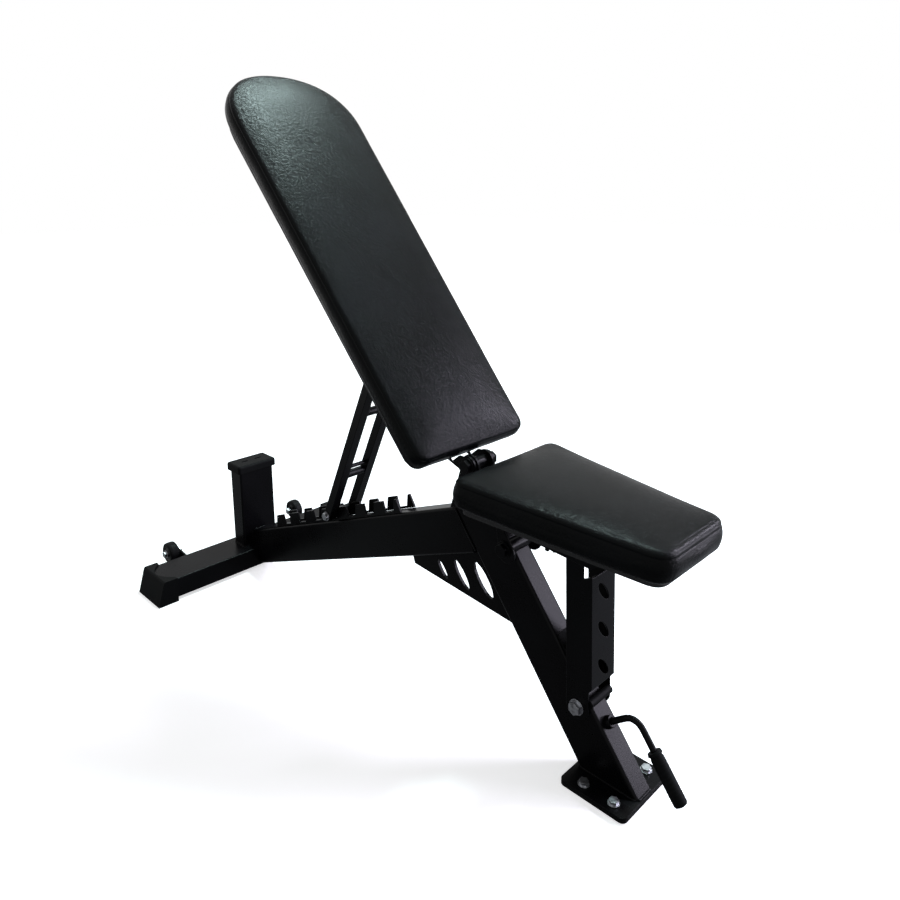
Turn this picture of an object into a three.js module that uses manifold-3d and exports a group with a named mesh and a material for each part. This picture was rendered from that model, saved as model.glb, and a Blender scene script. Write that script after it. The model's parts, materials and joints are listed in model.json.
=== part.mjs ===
// Adjustable weight bench: flat to upright backrest, tilting seat, transport wheels and a lifting handle.
// Millimetres, +X towards the seat end, +Y to the left of a seated user, +Z up.
import * as THREE from 'three';
import { mergeVertices } from 'three/addons/utils/BufferGeometryUtils.js';
import ManifoldLibrary from 'manifold-3d';

const manifoldLibrary = await ManifoldLibrary();
manifoldLibrary.setup();
const { Manifold, Mesh: ManifoldMesh } = manifoldLibrary;

// ---------------------------------------------------------------- clearances
const SEAT_GAP = 0.3; // between faces that touch on the real bench
const RUN_GAP = 0.05; // radial, around a pin that turns
const SLIDE_GAP = 1; // beside a plate that swings past another
const BOLT_GAP = 0.3; // radial, around a bolt that only clamps

// ---------------------------------------------------------------- rear foot
const REAR_FOOT_WIDTH = 540; // overall, over the rubber caps
const REAR_TUBE_DEPTH = 90;
const REAR_TUBE_HEIGHT = 45;
const REAR_TUBE_WALL = 2.5;
const REAR_TUBE_CORNER = 3;
const REAR_CAP_WALL = 4.5;
const REAR_CAP_SOLE = 6;
const REAR_CAP_LID = 3;
const REAR_CAP_REACH = 45; // length of each cap along the tube
const REAR_CAP_END_WALL = 7; // at the top, where the slanted end is thinnest
const REAR_CAP_END_SLANT = 15; // how much further the cap reaches at the floor
const REAR_CAP_LID_SCOOP = 25; // depth of the curve in the lid's inner edge
const REAR_CAP_LID_MARGIN = 8; // lid beside the curve, at the front and rear edges

// ---------------------------------------------------------------- rear post
const POST_WIDTH = 86;
const POST_DEPTH = 45;
const POST_WALL = 2.5;
const POST_CORNER = 4;
const POST_TOP = 243;
const POST_SETBACK = 26; // from the rear of the foot to the rear of the post
const POST_CAP_WALL = 6;
const POST_CAP_SKIRT = 8;
const POST_CAP_LID = 9.5;
const POST_CAP_BEVEL = 5;
const POST_CAP_CORNER = 6;
const POST_CAP_SLOT_LENGTH = 17;
const POST_CAP_SLOT_WIDTH = 5;
const POST_CAP_SLOT_DEPTH = 2.5;
const POST_CAP_SLOT_SPACING = 34;
const POST_CAP_SLOT_CORNER = 2.4;

// ---------------------------------------------------------------- beam and leg
const FRAME_TUBE_WIDTH = 40;
const FRAME_TUBE_DEPTH = 81.5;
const FRAME_TUBE_WALL = 3;
const FRAME_TUBE_CORNER = 5;
const BEAM_ANGLE = THREE.MathUtils.degToRad(21.7);
const BEAM_TOP_AT_POST = 88; // height of the beam's top face where it meets the post
const LEG_ANGLE = THREE.MathUtils.degToRad(52.2); // above the floor
const LEG_FOOT_FRONT = 1113; // front of the leg where it stands on the base plate

// ---------------------------------------------------------------- base plate
const BASE_LENGTH = 114;
const BASE_WIDTH = 124;
const BASE_THICKNESS = 5;
const BASE_CORNER = 9;
const BASE_FRONT_MARGIN = 4; // plate in front of the leg
const BASE_PAD_THICKNESS = 3;
const BASE_BOLT_SPACING_X = 52;
const BASE_BOLT_SHIFT = 3; // forward of the plate's middle
const BASE_BOLT_SPACING_Y = 90;
const BASE_BOLT_DIAMETER = 8;
const BASE_BOLT_COVER = 1; // between the bolt's end and the floor

// ---------------------------------------------------------------- gusset
const GUSSET_THICKNESS = 6;
const GUSSET_LENGTH = 263; // along the floor, from its rear edge to the leg
const GUSSET_REAR_DROP = 16.4; // below the beam at the rear edge
const GUSSET_FRONT_HEIGHT = 178; // above the floor where it meets the leg
const GUSSET_HOLES = [ // behind: from the corner under the beam and leg; below: from the beam
  { length: 38, width: 12, behind: 99, below: 32.4 },
  { length: 58, width: 18, behind: 52, below: 44.4 },
  { length: 68, width: 24, behind: 1, below: 55.4 },
];

// ---------------------------------------------------------------- notch plates
const NOTCH_PLATE_THICKNESS = 4;
const PLATE_INSET = 0.7; // outer faces of the upright plates, in from the narrower of beam and rail
const NOTCH_COUNT = 7;
const NOTCH_PITCH = 57.4;
const FIRST_TOOTH = 190; // rear corner of its tip along the floor, from the rear of the foot
const TOOTH_WIDTH = 25; // at the tip
const LAST_TOOTH_WIDTH = 5; // at the tip
const LAST_TOOTH_SLOPE = 5; // of its front side, from foot to tip
const TOOTH_HEIGHT = 26; // above the beam
const TOOTH_SLOPE = 10; // of the rear side, from foot to tip
const NOTCH_FLOOR = 4.5; // above the beam
const REST_NOTCH = 3; // counted from the rear, starting at 0
const FOOT_ROD_DIAMETER = 20;
const FOOT_ROD_BEHIND = 16; // the tip of the tooth in front of it

// ---------------------------------------------------------------- backrest
const BACK_HINGE_X = 776;
const BACK_HINGE_Z = 439;
const BACK_REST_ANGLE = THREE.MathUtils.degToRad(49.4); // pad above the floor, as shown
const BACK_FACE_OFFSET = 20.3; // pad face in front of the hinge axis
const BACK_PAD_THICKNESS = 38;
const BACK_PAD_LENGTH = 826;
const BACK_PAD_GAP = 24; // from hinge axis to the pad's lower end
const BACK_PAD_LOWER_WIDTH = 258;
const BACK_PAD_UPPER_WIDTH = 288;
const BACK_PAD_LOWER_CORNER = 24;
const BACK_PAD_HEAD_LENGTH = 128; // over which the head end rounds off
const BACK_PAD_EDGE = 13;
const HEAD_SHOULDER = 0.66; // share of the head's length over which its sides stay straight
const HEAD_CROWN = 0.6; // share of its half width that stays flat at the top
const BOARD_THICKNESS = 9;
const BOARD_INSET = 12;
const RAIL_WIDTH = 40;
const RAIL_DEPTH = 30;
const RAIL_WALL = 2.5;
const RAIL_CORNER = 3;
const RAIL_LENGTH = 600;
const RAIL_START = 42; // from the hinge axis
const CROSS_PLATE_THICKNESS = 3;
const CROSS_PLATE_LENGTH = 170;
const CROSS_PLATE_WIDTH = 50;
const CROSS_PLATE_CORNER = 8;
const CROSS_PLATE_PLACES = [90, 560]; // from the hinge axis to each plate's middle
const HINGE_PIN_DIAMETER = 12;
const HINGE_PLATE_THICKNESS = 4;
const HINGE_PLATE_RADIUS = 18;
const HINGE_PLATE_BASE = 84;
const HINGE_PLATE_OFFSET = 4; // middle of its foot, behind the hinge axis
const EAR_THICKNESS = 5;
const EAR_RADIUS = 16;
const EAR_LENGTH = 92;
const EAR_HEEL = 70; // where its lower edge starts to rise to the pin
const EAR_EDGE = 3; // set in from the rail's faces
const EAR_NOSE = 1; // left free below the pad's end
const PIVOT_TUBE_WALL = 5; // of the tubes that carry the hinge pins

// ---------------------------------------------------------------- ladder
const LADDER_PIVOT_DISTANCE = 262; // along the backrest from its hinge
const LADDER_BAR_SIZE = 18;
const LADDER_BAR_OVERRUN = 13; // past each pin
const LADDER_PIN_DIAMETER = 12;
const LADDER_RUNG_DIAMETER = 16;
const LADDER_RUNG_PLACES = [106, 262]; // above the foot
const LADDER_TIE_DIAMETER = 8;
const LADDER_TIE_PLACE = 126; // above the foot
const FOOT_BOLT_DIAMETER = 8;
const FOOT_BOLT_STOP = 4; // bar left behind the end of its hole

// ---------------------------------------------------------------- seat
const SEAT_HINGE_X = 864;
const SEAT_HINGE_Z = 326;
const SEAT_REST_DROP = THREE.MathUtils.degToRad(3.5); // front lower than rear
const SEAT_TOP_OFFSET = 133; // pad top above the hinge axis
const SEAT_PAD_THICKNESS = 46;
const SEAT_PAD_LENGTH = 342;
const SEAT_PAD_REAR = 43; // behind the hinge axis
const SEAT_PAD_REAR_WIDTH = 250;
const SEAT_PAD_FRONT_WIDTH = 166;
const SEAT_PAD_CORNER = 28;
const SEAT_PAD_EDGE = 13;
const SEAT_CHANNEL_WIDTH = 69;
const SEAT_CHANNEL_WALL = 3.5;
const SEAT_CHANNEL_REAR = 20; // behind the hinge axis
const SEAT_CHANNEL_FRONT = 190; // in front of the hinge axis
const SEAT_CHANNEL_BOTTOM = 36; // above the hinge axis
const SEAT_LOBE_RADIUS = 17;
const SEAT_LOBE_REACH = 24; // from the hinge axis down along the leg
const SEAT_CHANNEL_NOSE = 30; // length of the sloping cut under the front end
const SEAT_CHANNEL_NOSE_RISE = 26;
const SEAT_PIN_DIAMETER = 12;
const SEAT_TRAVEL = THREE.MathUtils.degToRad(12);
const RACK_THICKNESS = 4;
const RACK_SPACING = 28; // over the two rack plates
const RACK_MARGIN = 11; // plate beyond the outer notches
const RACK_NOTCHES = 3;

// ---------------------------------------------------------------- seat strut
const STRUT_PIVOT_X = 1009;
const STRUT_PIVOT_Z = 118;
const STRUT_LEAN = THREE.MathUtils.degToRad(2.3); // top towards the rear
const STRUT_TRAVEL = THREE.MathUtils.degToRad(14);
const STRUT_WIDTH = 60;
const STRUT_WALL = 3;
const STRUT_FRONT = 26.3; // front face, ahead of the pivot
const STRUT_REAR = 19.7; // rear edges, behind the pivot
const STRUT_HEIGHT = 248; // pivot to adjusting pin
const STRUT_HEAD_FRONT = 11; // front of the head, ahead of the pivot
const STRUT_WEB_BOTTOM = 38;
const STRUT_WEB_TOP = 31; // below the adjusting pin
const STRUT_FOOT_RADIUS = 20;
const STRUT_CHAMFER = 6.3; // where the flanges come forward to the web
const STRUT_SHOULDER = 5; // of the web's upper corners
const STRUT_LIP = 4; // behind the adjusting pin
const STRUT_SLOT_LENGTH = 41;
const STRUT_SLOT_WIDTH = 14;
const STRUT_SLOT_ANGLE = THREE.MathUtils.degToRad(52);
const STRUT_SLOT_PITCH = 61.2;
const STRUT_SLOT_COUNT = 3;
const STRUT_FIRST_SLOT = 64; // above the pivot
const STRUT_PIN_DIAMETER = 11;
const ADJUST_PIN_DIAMETER = 10;
const STOP_ROD_DIAMETER = 9;
const STOP_SLEEVE_DIAMETER = 13;
const STOP_ROD_REACH = 22.6; // from the strut's pivot
const STOP_ROD_ANGLE = THREE.MathUtils.degToRad(30.8);
const BUMPER_LENGTH = 50;
const BUMPER_WIDTH = 34;
const BUMPER_THICKNESS = 4;
const BUMPER_CORNER = 5;
const BUMPER_HEIGHT = 190; // middle of the bumper above the floor

// ---------------------------------------------------------------- handle
const HANDLE_HEIGHT = 95; // where the handle leaves the leg
const HANDLE_ROD_DIAMETER = 10;
const HANDLE_ARM = 58;
const HANDLE_BEND = 20;
const HANDLE_DROP = 130;
const HANDLE_COLLAR_DIAMETER = 20;
const HANDLE_COLLAR_LENGTH = 9;
const HANDLE_COLLAR_TAPER = 1;
const GRIP_DIAMETER = 21;
const GRIP_LENGTH = 78;
const GRIP_END = 5;
const GRIP_NOSE = 4; // width of the rounding at the free end
const GRIP_BEAD = 1; // how far the bead at the top stands out, and the groove below it goes in
const GRIP_BEAD_WIDTH = 4;

// ---------------------------------------------------------------- wheels
const WHEEL_DIAMETER = 50;
const WHEEL_WIDTH = 22;
const WHEEL_HUB_DIAMETER = 32;
const WHEEL_TRACK = 342; // between the middles of the wheels
const WHEEL_BEHIND = 42; // axle behind the rear foot
const WHEEL_HEIGHT = 44; // axle above the floor
const WHEEL_BOLT_DIAMETER = 8;
const WHEEL_BRACKET_THICKNESS = 4;
const WHEEL_BRACKET_HEIGHT = 20;
const WHEEL_BRACKET_DROP = 2; // its arm's root, below the tube's top
const WHEEL_BRACKET_RISE = 6; // its arm's root, above the tube's bottom
const HUB_BOSS_RADIUS = 9;
const HUB_BOSS_TAPER = 1;
const HUB_DISH = 3; // depth of the hub's face behind its rim
const HUB_RIM = 2;
const RIM_SETBACK = 0.5; // of the hub's rim behind the tyre
const TYRE_SHOULDER = 4; // width of the tyre's rounded shoulder
const TYRE_TREAD_SETBACK = 6; // of the tread's edge from the side of the wheel

// ---------------------------------------------------------------- bolts, in bolt diameters
const WASHER_SIZE = 1.15; // radius
const WASHER_THICKNESS = 0.18;
const HEXAGON_SIZE = 0.95; // radius over the corners
const HEXAGON_HEIGHT = 0.62;

// ---------------------------------------------------------------- fineness
const JOIN_LAP = 0.1; // by which shapes that become one body overlap
const CUSHION_SEGMENTS = 10; // along each curved stretch of a pad's outline
const WHEEL_SIDES = 30;

// ---------------------------------------------------------------- finishes
const paint = () => new THREE.MeshStandardMaterial({ color: 0x17181b, roughness: 0.5, metalness: 0.35 });
const rubber = () => new THREE.MeshStandardMaterial({ color: 0x1b1d1d, roughness: 0.85, metalness: 0 });
const vinyl = () => new THREE.MeshStandardMaterial({ color: 0x15191a, roughness: 0.45, metalness: 0 });
const zinc = () => new THREE.MeshStandardMaterial({ color: 0xb9bcc0, roughness: 0.3, metalness: 1 });
const plywood = () => new THREE.MeshStandardMaterial({ color: 0x2a2420, roughness: 0.9, metalness: 0 });
const plastic = () => new THREE.MeshStandardMaterial({ color: 0x222427, roughness: 0.6, metalness: 0 });

// ---------------------------------------------------------------- derived places
const rearTubeBottom = REAR_CAP_SOLE;
const rearTubeTop = rearTubeBottom + REAR_TUBE_HEIGHT;
const rearTubeRear = REAR_CAP_WALL + SEAT_GAP;
const rearTubeFront = rearTubeRear + REAR_TUBE_DEPTH;
const rearTubeEnd = REAR_FOOT_WIDTH / 2 - REAR_CAP_END_SLANT - REAR_CAP_END_WALL;
const postRear = POST_SETBACK;
const postFront = POST_SETBACK + POST_DEPTH;
const frameSide = FRAME_TUBE_WIDTH / 2;
const plateOuter = Math.min(FRAME_TUBE_WIDTH, RAIL_WIDTH) / 2 - PLATE_INSET;
const hingePlateInner = plateOuter - HINGE_PLATE_THICKNESS;
const earInner = RAIL_WIDTH / 2 + SEAT_GAP;
const earOuter = earInner + EAR_THICKNESS;
const barInner = RAIL_WIDTH / 2 + SLIDE_GAP;
const barOuter = barInner + LADDER_BAR_SIZE;
const baseTop = BASE_PAD_THICKNESS + SEAT_GAP + BASE_THICKNESS;
const legFoot = baseTop + SEAT_GAP;
const beamSlope = Math.tan(BEAM_ANGLE);
const legSlope = Math.tan(LEG_ANGLE);

/** Height of the beam's top face at x. */
const beamTop = (x) => BEAM_TOP_AT_POST + (x - postFront) * beamSlope;

/** Height of the beam's bottom face at x. */
const beamBottom = (x) => beamTop(x) - FRAME_TUBE_DEPTH / Math.cos(BEAM_ANGLE);

/** Front face of the leg at height z. */
const legFront = (z) => LEG_FOOT_FRONT - (z - legFoot) / legSlope;

/** Rear face of the leg at height z. */
const legRear = (z) => legFront(z) - FRAME_TUBE_DEPTH / Math.sin(LEG_ANGLE);

/** Where a line of the beam's slope, dropped below its top face, meets the leg's front or rear face. */
function beamMeetsLeg(face, drop) {
  const height = (x) => beamTop(x) - drop / Math.cos(BEAM_ANGLE);
  const atFloor = face(0);
  const x = (atFloor + (postFront * beamSlope - BEAM_TOP_AT_POST + drop / Math.cos(BEAM_ANGLE)) / legSlope)
    / (1 + beamSlope / legSlope);
  return new THREE.Vector2(x, height(x));
}

/** A point a given height above the beam's top face, square to it, over the place x. */
function aboveBeam(x, height) {
  return new THREE.Vector2(x - height * Math.sin(BEAM_ANGLE), beamTop(x) + height * Math.cos(BEAM_ANGLE));
}

/** Turns a point of a group that is tilted about Y into the bench's own axes. */
function placed(origin, tilt, x, z) {
  const cosine = Math.cos(tilt);
  const sine = Math.sin(tilt);
  return new THREE.Vector2(origin.x + x * cosine + z * sine, origin.y - x * sine + z * cosine);
}

/** The reverse of placed: a point of the bench in a tilted group's own axes. */
function local(origin, tilt, point) {
  const dx = point.x - origin.x;
  const dz = point.y - origin.y;
  return new THREE.Vector2(
    dx * Math.cos(tilt) - dz * Math.sin(tilt),
    dx * Math.sin(tilt) + dz * Math.cos(tilt),
  );
}

const backHinge = new THREE.Vector2(BACK_HINGE_X, BACK_HINGE_Z);
const seatHinge = new THREE.Vector2(SEAT_HINGE_X, SEAT_HINGE_Z);
const strutPivot = new THREE.Vector2(STRUT_PIVOT_X, STRUT_PIVOT_Z);
const padBack = BACK_FACE_OFFSET - BACK_PAD_THICKNESS;
const boardFront = padBack - SEAT_GAP;
const boardBack = boardFront - BOARD_THICKNESS;
const crossPlateFront = boardBack - SEAT_GAP;
const railFront = crossPlateFront - CROSS_PLATE_THICKNESS - SEAT_GAP;
const railMiddle = railFront - RAIL_DEPTH / 2;
const ladderPivot = placed(backHinge, BACK_REST_ANGLE, -LADDER_PIVOT_DISTANCE, railMiddle);
const footHeight = NOTCH_FLOOR + SEAT_GAP + FOOT_ROD_DIAMETER / 2;
const toothTip = (index) => FIRST_TOOTH + index * NOTCH_PITCH;
const ladderFoot = aboveBeam(toothTip(REST_NOTCH + 1) - FOOT_ROD_BEHIND, footHeight);
const ladderLength = ladderPivot.distanceTo(ladderFoot);
const ladderTilt = Math.atan2(ladderPivot.x - ladderFoot.x, ladderPivot.y - ladderFoot.y);
const strutHeadMiddle = (STRUT_HEAD_FRONT - STRUT_REAR) / 2;
const strutCoupling = STRUT_TRAVEL / SEAT_TRAVEL;

/** Middle of the adjusting pin, in the seat's own axes, for a share of the seat's travel. */
function adjustPinPlace(share) {
  const seatTilt = SEAT_REST_DROP - share * SEAT_TRAVEL;
  const strutTilt = -STRUT_LEAN - share * SEAT_TRAVEL * strutCoupling;
  return local(seatHinge, seatTilt, placed(strutPivot, strutTilt, strutHeadMiddle, STRUT_HEIGHT));
}

// ---------------------------------------------------------------- geometry helpers
/** Converts a closed three.js geometry to a manifold solid. */
function toSolid(geometry) {
  const bare = new THREE.BufferGeometry();
  bare.setAttribute('position', geometry.getAttribute('position').clone());
  if (geometry.index) bare.setIndex(geometry.index.clone());
  const welded = mergeVertices(bare, 1e-4);
  return new Manifold(new ManifoldMesh({
    numProp: 3,
    vertProperties: new Float32Array(welded.getAttribute('position').array),
    triVerts: new Uint32Array(welded.index.array),
  }));
}

/** Converts a manifold solid back to a three.js geometry with flat-shaded faces. */
function toGeometry(solid) {
  const mesh = solid.getMesh();
  const shared = new THREE.BufferGeometry();
  shared.setAttribute('position', new THREE.BufferAttribute(new Float32Array(mesh.vertProperties), 3));
  shared.setIndex(new THREE.BufferAttribute(new Uint32Array(mesh.triVerts), 1));
  const geometry = shared.toNonIndexed();
  geometry.computeVertexNormals();
  return geometry;
}

/** Cuts every tool geometry out of a base geometry. */
function cut(base, tools) {
  const solids = tools.map((tool) => toSolid(tool));
  return toGeometry(toSolid(base).subtract(Manifold.union(solids)));
}

/** Joins geometries that overlap into one solid. */
function join(parts) {
  return toGeometry(Manifold.union(parts.map((part) => toSolid(part))));
}

/** A box between two corners. */
function block(x0, x1, y0, y1, z0, z1) {
  const geometry = new THREE.BoxGeometry(x1 - x0, y1 - y0, z1 - z0);
  geometry.translate((x0 + x1) / 2, (y0 + y1) / 2, (z0 + z1) / 2);
  return geometry;
}

/** A round bar along Y, between y0 and y1, around (x, z). */
function barY(radius, y0, y1, x = 0, z = 0, sides = 24) {
  const geometry = new THREE.CylinderGeometry(radius, radius, y1 - y0, sides);
  geometry.translate(x, (y0 + y1) / 2, z);
  return geometry;
}

/** A round hole along Y whose flats keep the stated radius, so a pin can turn in it. */
function boreY(radius, y0, y1, x = 0, z = 0, sides = 24) {
  return barY(radius / Math.cos(Math.PI / sides), y0, y1, x, z, sides);
}

/** A round bar along Z, between z0 and z1, around (x, y). */
function barZ(radius, z0, z1, x = 0, y = 0, sides = 28) {
  const geometry = new THREE.CylinderGeometry(radius, radius, z1 - z0, sides);
  geometry.rotateX(Math.PI / 2);
  geometry.translate(x, y, (z0 + z1) / 2);
  return geometry;
}

/** A side outline in X and Z, made solid between y0 and y1. */
function slab(shape, y0, y1) {
  const geometry = new THREE.ExtrudeGeometry(shape, { depth: y1 - y0, bevelEnabled: false, curveSegments: 7 });
  geometry.rotateX(Math.PI / 2);
  geometry.translate(0, y1, 0);
  return geometry;
}

/** A plan outline in X and Y, made solid between z0 and z1. */
function sheet(shape, z0, z1, curveSegments = 3) {
  const geometry = new THREE.ExtrudeGeometry(shape, { depth: z1 - z0, bevelEnabled: false, curveSegments });
  geometry.translate(0, 0, z0);
  return geometry;
}

/** A closed outline through straight corners. */
function outline(points) {
  return new THREE.Shape(points.map(([x, y]) => new THREE.Vector2(x, y)));
}

/** A rectangle with rounded corners, centred on the origin. */
function roundedRectangle(width, height, radius) {
  const x = width / 2;
  const y = height / 2;
  const shape = new THREE.Shape();
  shape.moveTo(-x + radius, -y);
  shape.lineTo(x - radius, -y);
  shape.absarc(x - radius, -y + radius, radius, -Math.PI / 2, 0);
  shape.absarc(x - radius, y - radius, radius, 0, Math.PI / 2);
  shape.absarc(-x + radius, y - radius, radius, Math.PI / 2, Math.PI);
  shape.absarc(-x + radius, -y + radius, radius, Math.PI, Math.PI * 1.5);
  return shape;
}

/** An elliptical hole or bar outline, turned by an angle. */
function ellipse(x, y, length, width, angle) {
  const shape = new THREE.Shape();
  shape.absellipse(x, y, length / 2, width / 2, 0, Math.PI * 2, false, angle);
  return shape;
}

/** A rectangular tube along X with open ends, centred on the axis: width in Y, depth in Z. */
function tubeX(x0, x1, width, depth, wall, corner) {
  const skin = (w, d, r, start, end) => {
    const geometry = new THREE.ExtrudeGeometry(roundedRectangle(d, w, r), {
      depth: end - start, bevelEnabled: false, curveSegments: 3,
    });
    geometry.rotateY(Math.PI / 2);
    geometry.translate(start, 0, 0);
    return geometry;
  };
  const bore = skin(width - 2 * wall, depth - 2 * wall, Math.max(corner - wall, 0.5), x0 - 1, x1 + 1);
  return cut(skin(width, depth, corner, x0, x1), [bore]);
}

/** A washer with a hexagon on it, along +Y, its clamping face at y = 0. */
function washerAndHexagon(diameter) {
  const seat = diameter * WASHER_THICKNESS;
  return [
    barY(diameter * WASHER_SIZE, 0, seat),
    barY(diameter * HEXAGON_SIZE, seat - JOIN_LAP, seat + diameter * HEXAGON_HEIGHT, 0, 0, 6),
  ];
}

/** A hexagon bolt along +Y with its washer: it clamps at y = 0, the shank runs to -Y. */
function hexBolt(diameter, shank) {
  return join([...washerAndHexagon(diameter), barY(diameter / 2, -shank, JOIN_LAP)]);
}

/** A bolt with its nut done up, along Y: the head clamps at y = head and the nut at y = nut. */
function boltAndNut(diameter, head, nut) {
  const bolt = hexBolt(diameter, Math.abs(nut - head) + diameter);
  const nutEnd = join(washerAndHexagon(diameter));
  const turned = nut > head ? bolt : nutEnd;
  turned.rotateX(Math.PI);
  bolt.translate(0, head, 0);
  nutEnd.translate(0, nut, 0);
  return join([bolt, nutEnd]);
}

/** Makes a named mesh, optionally placed. */
function piece(name, geometry, material, position = [0, 0, 0]) {
  const mesh = new THREE.Mesh(geometry, material);
  mesh.name = name;
  mesh.position.set(...position);
  return mesh;
}

/** A group placed at a point of the XZ plane and turned about Y. */
function tilted(point, tilt, meshes) {
  const group = new THREE.Group();
  group.position.set(point.x, 0, point.y);
  group.rotation.y = tilt;
  group.add(...meshes);
  return group;
}

/** Mirrors a geometry across the bench's middle plane. */
function mirrored(geometry) {
  return toGeometry(toSolid(geometry).mirror([0, 1, 0]));
}

/** A pair of pieces on the left and right, given the left one's geometry. */
function pair(name, leftGeometry, material) {
  return [
    piece(`${name}_left`, leftGeometry, material()),
    piece(`${name}_right`, mirrored(leftGeometry), material()),
  ];
}

// ---------------------------------------------------------------- rear foot and post
function rearCap() {
  const half = REAR_FOOT_WIDTH / 2;
  const top = rearTubeTop + SEAT_GAP + REAR_CAP_LID;
  const inner = half - REAR_CAP_REACH;
  const end = outline([
    [inner, 0],
    [half, 0],
    [half - REAR_CAP_END_SLANT, top - REAR_CAP_LID],
    [half - REAR_CAP_END_SLANT - REAR_CAP_LID, top],
    [inner, top],
  ]);
  const depth = REAR_TUBE_DEPTH + 2 * (REAR_CAP_WALL + SEAT_GAP);
  const body = new THREE.ExtrudeGeometry(end, { depth, bevelEnabled: false });
  body.rotateX(Math.PI / 2);
  body.rotateZ(Math.PI / 2);
  const pocket = block(
    REAR_CAP_WALL, rearTubeFront + SEAT_GAP,
    inner - 1, rearTubeEnd + SEAT_GAP,
    rearTubeBottom - SEAT_GAP, rearTubeTop + SEAT_GAP,
  );
  const scoop = new THREE.Shape();
  scoop.moveTo(REAR_CAP_LID_MARGIN, inner - 1);
  scoop.lineTo(depth - REAR_CAP_LID_MARGIN, inner - 1);
  scoop.quadraticCurveTo(depth / 2, inner + 2 * REAR_CAP_LID_SCOOP, REAR_CAP_LID_MARGIN, inner - 1);
  return cut(body, [pocket, sheet(scoop, rearTubeTop, top + 1, CUSHION_SEGMENTS)]);
}

function rearTube() {
  const tube = tubeX(-rearTubeEnd, rearTubeEnd, REAR_TUBE_DEPTH, REAR_TUBE_HEIGHT, REAR_TUBE_WALL,
    REAR_TUBE_CORNER);
  tube.rotateZ(Math.PI / 2);
  tube.translate((rearTubeRear + rearTubeFront) / 2, 0, (rearTubeBottom + rearTubeTop) / 2);
  return tube;
}

function rearPost() {
  const height = POST_TOP - rearTubeTop - SEAT_GAP;
  const tube = tubeX(0, height, POST_WIDTH, POST_DEPTH, POST_WALL, POST_CORNER);
  tube.rotateY(-Math.PI / 2);
  tube.translate((postRear + postFront) / 2, 0, rearTubeTop + SEAT_GAP);
  return tube;
}

function postCap() {
  const width = POST_WIDTH + 2 * POST_CAP_WALL;
  const depth = POST_DEPTH + 2 * POST_CAP_WALL;
  const bottom = POST_TOP - POST_CAP_SKIRT;
  const top = POST_TOP + SEAT_GAP + POST_CAP_LID;
  const skirt = sheet(roundedRectangle(depth, width, POST_CAP_CORNER), bottom, top - POST_CAP_BEVEL);
  const lid = new THREE.ExtrudeGeometry(roundedRectangle(depth, width, POST_CAP_CORNER), {
    depth: JOIN_LAP, bevelEnabled: true, bevelThickness: POST_CAP_BEVEL - JOIN_LAP, bevelSize: POST_CAP_BEVEL,
    bevelOffset: -POST_CAP_BEVEL, bevelSegments: 3, curveSegments: 3,
  });
  lid.translate(0, 0, top - POST_CAP_BEVEL);
  const pocket = sheet(roundedRectangle(POST_DEPTH + 2 * SEAT_GAP, POST_WIDTH + 2 * SEAT_GAP,
    POST_CORNER + SEAT_GAP), bottom - 1, POST_TOP + SEAT_GAP);
  const slots = [-1, 1].map((side) => {
    const slot = sheet(roundedRectangle(POST_CAP_SLOT_WIDTH, POST_CAP_SLOT_LENGTH, POST_CAP_SLOT_CORNER),
      top - POST_CAP_SLOT_DEPTH, top + 1);
    slot.translate(0, side * POST_CAP_SLOT_SPACING / 2, 0);
    return slot;
  });
  const cap = cut(join([skirt, lid]), [pocket, ...slots]);
  cap.translate((postRear + postFront) / 2, 0, 0);
  return cap;
}

// ---------------------------------------------------------------- beam, leg, gusset
/** A rectangular tube in the bench's middle plane: its axis runs from one point along a slope. */
function slopedTube(start, end, width, depth, wall) {
  const tube = tubeX(0, start.distanceTo(end), width, depth, wall, FRAME_TUBE_CORNER);
  tube.rotateY(-Math.atan2(end.y - start.y, end.x - start.x));
  tube.translate(start.x, 0, start.y);
  return tube;
}

/** A wide slab used to trim a tube's end along an outline. */
function trimmer(points) {
  return slab(outline(points), -FRAME_TUBE_WIDTH, FRAME_TUBE_WIDTH);
}

function mainBeam() {
  const middle = (x) => new THREE.Vector2(x, (beamTop(x) + beamBottom(x)) / 2);
  const reach = FRAME_TUBE_DEPTH;
  const low = beamMeetsLeg(legRear, FRAME_TUBE_DEPTH + reach);
  const high = beamMeetsLeg(legRear, -reach);
  const far = legFront(0) + reach;
  const tube = slopedTube(middle(postRear - reach), middle(high.x + reach), FRAME_TUBE_WIDTH,
    FRAME_TUBE_DEPTH, FRAME_TUBE_WALL);
  const rearEnd = trimmer([
    [-2 * reach, -reach], [rearTubeFront + SEAT_GAP, -reach],
    [rearTubeFront + SEAT_GAP, rearTubeTop + SEAT_GAP],
    [postFront + SEAT_GAP, rearTubeTop + SEAT_GAP], [postFront + SEAT_GAP, POST_TOP], [-2 * reach, POST_TOP],
  ]);
  const gap = SEAT_GAP / Math.sin(LEG_ANGLE);
  const frontEnd = trimmer([[low.x - gap, low.y], [far, low.y], [far, high.y], [high.x - gap, high.y]]);
  const underFloor = trimmer([[-reach, -reach], [rearTubeFront + reach, -reach],
    [rearTubeFront + reach, rearTubeBottom], [-reach, rearTubeBottom]]);
  return cut(tube, [rearEnd, frontEnd, underFloor]);
}

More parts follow.
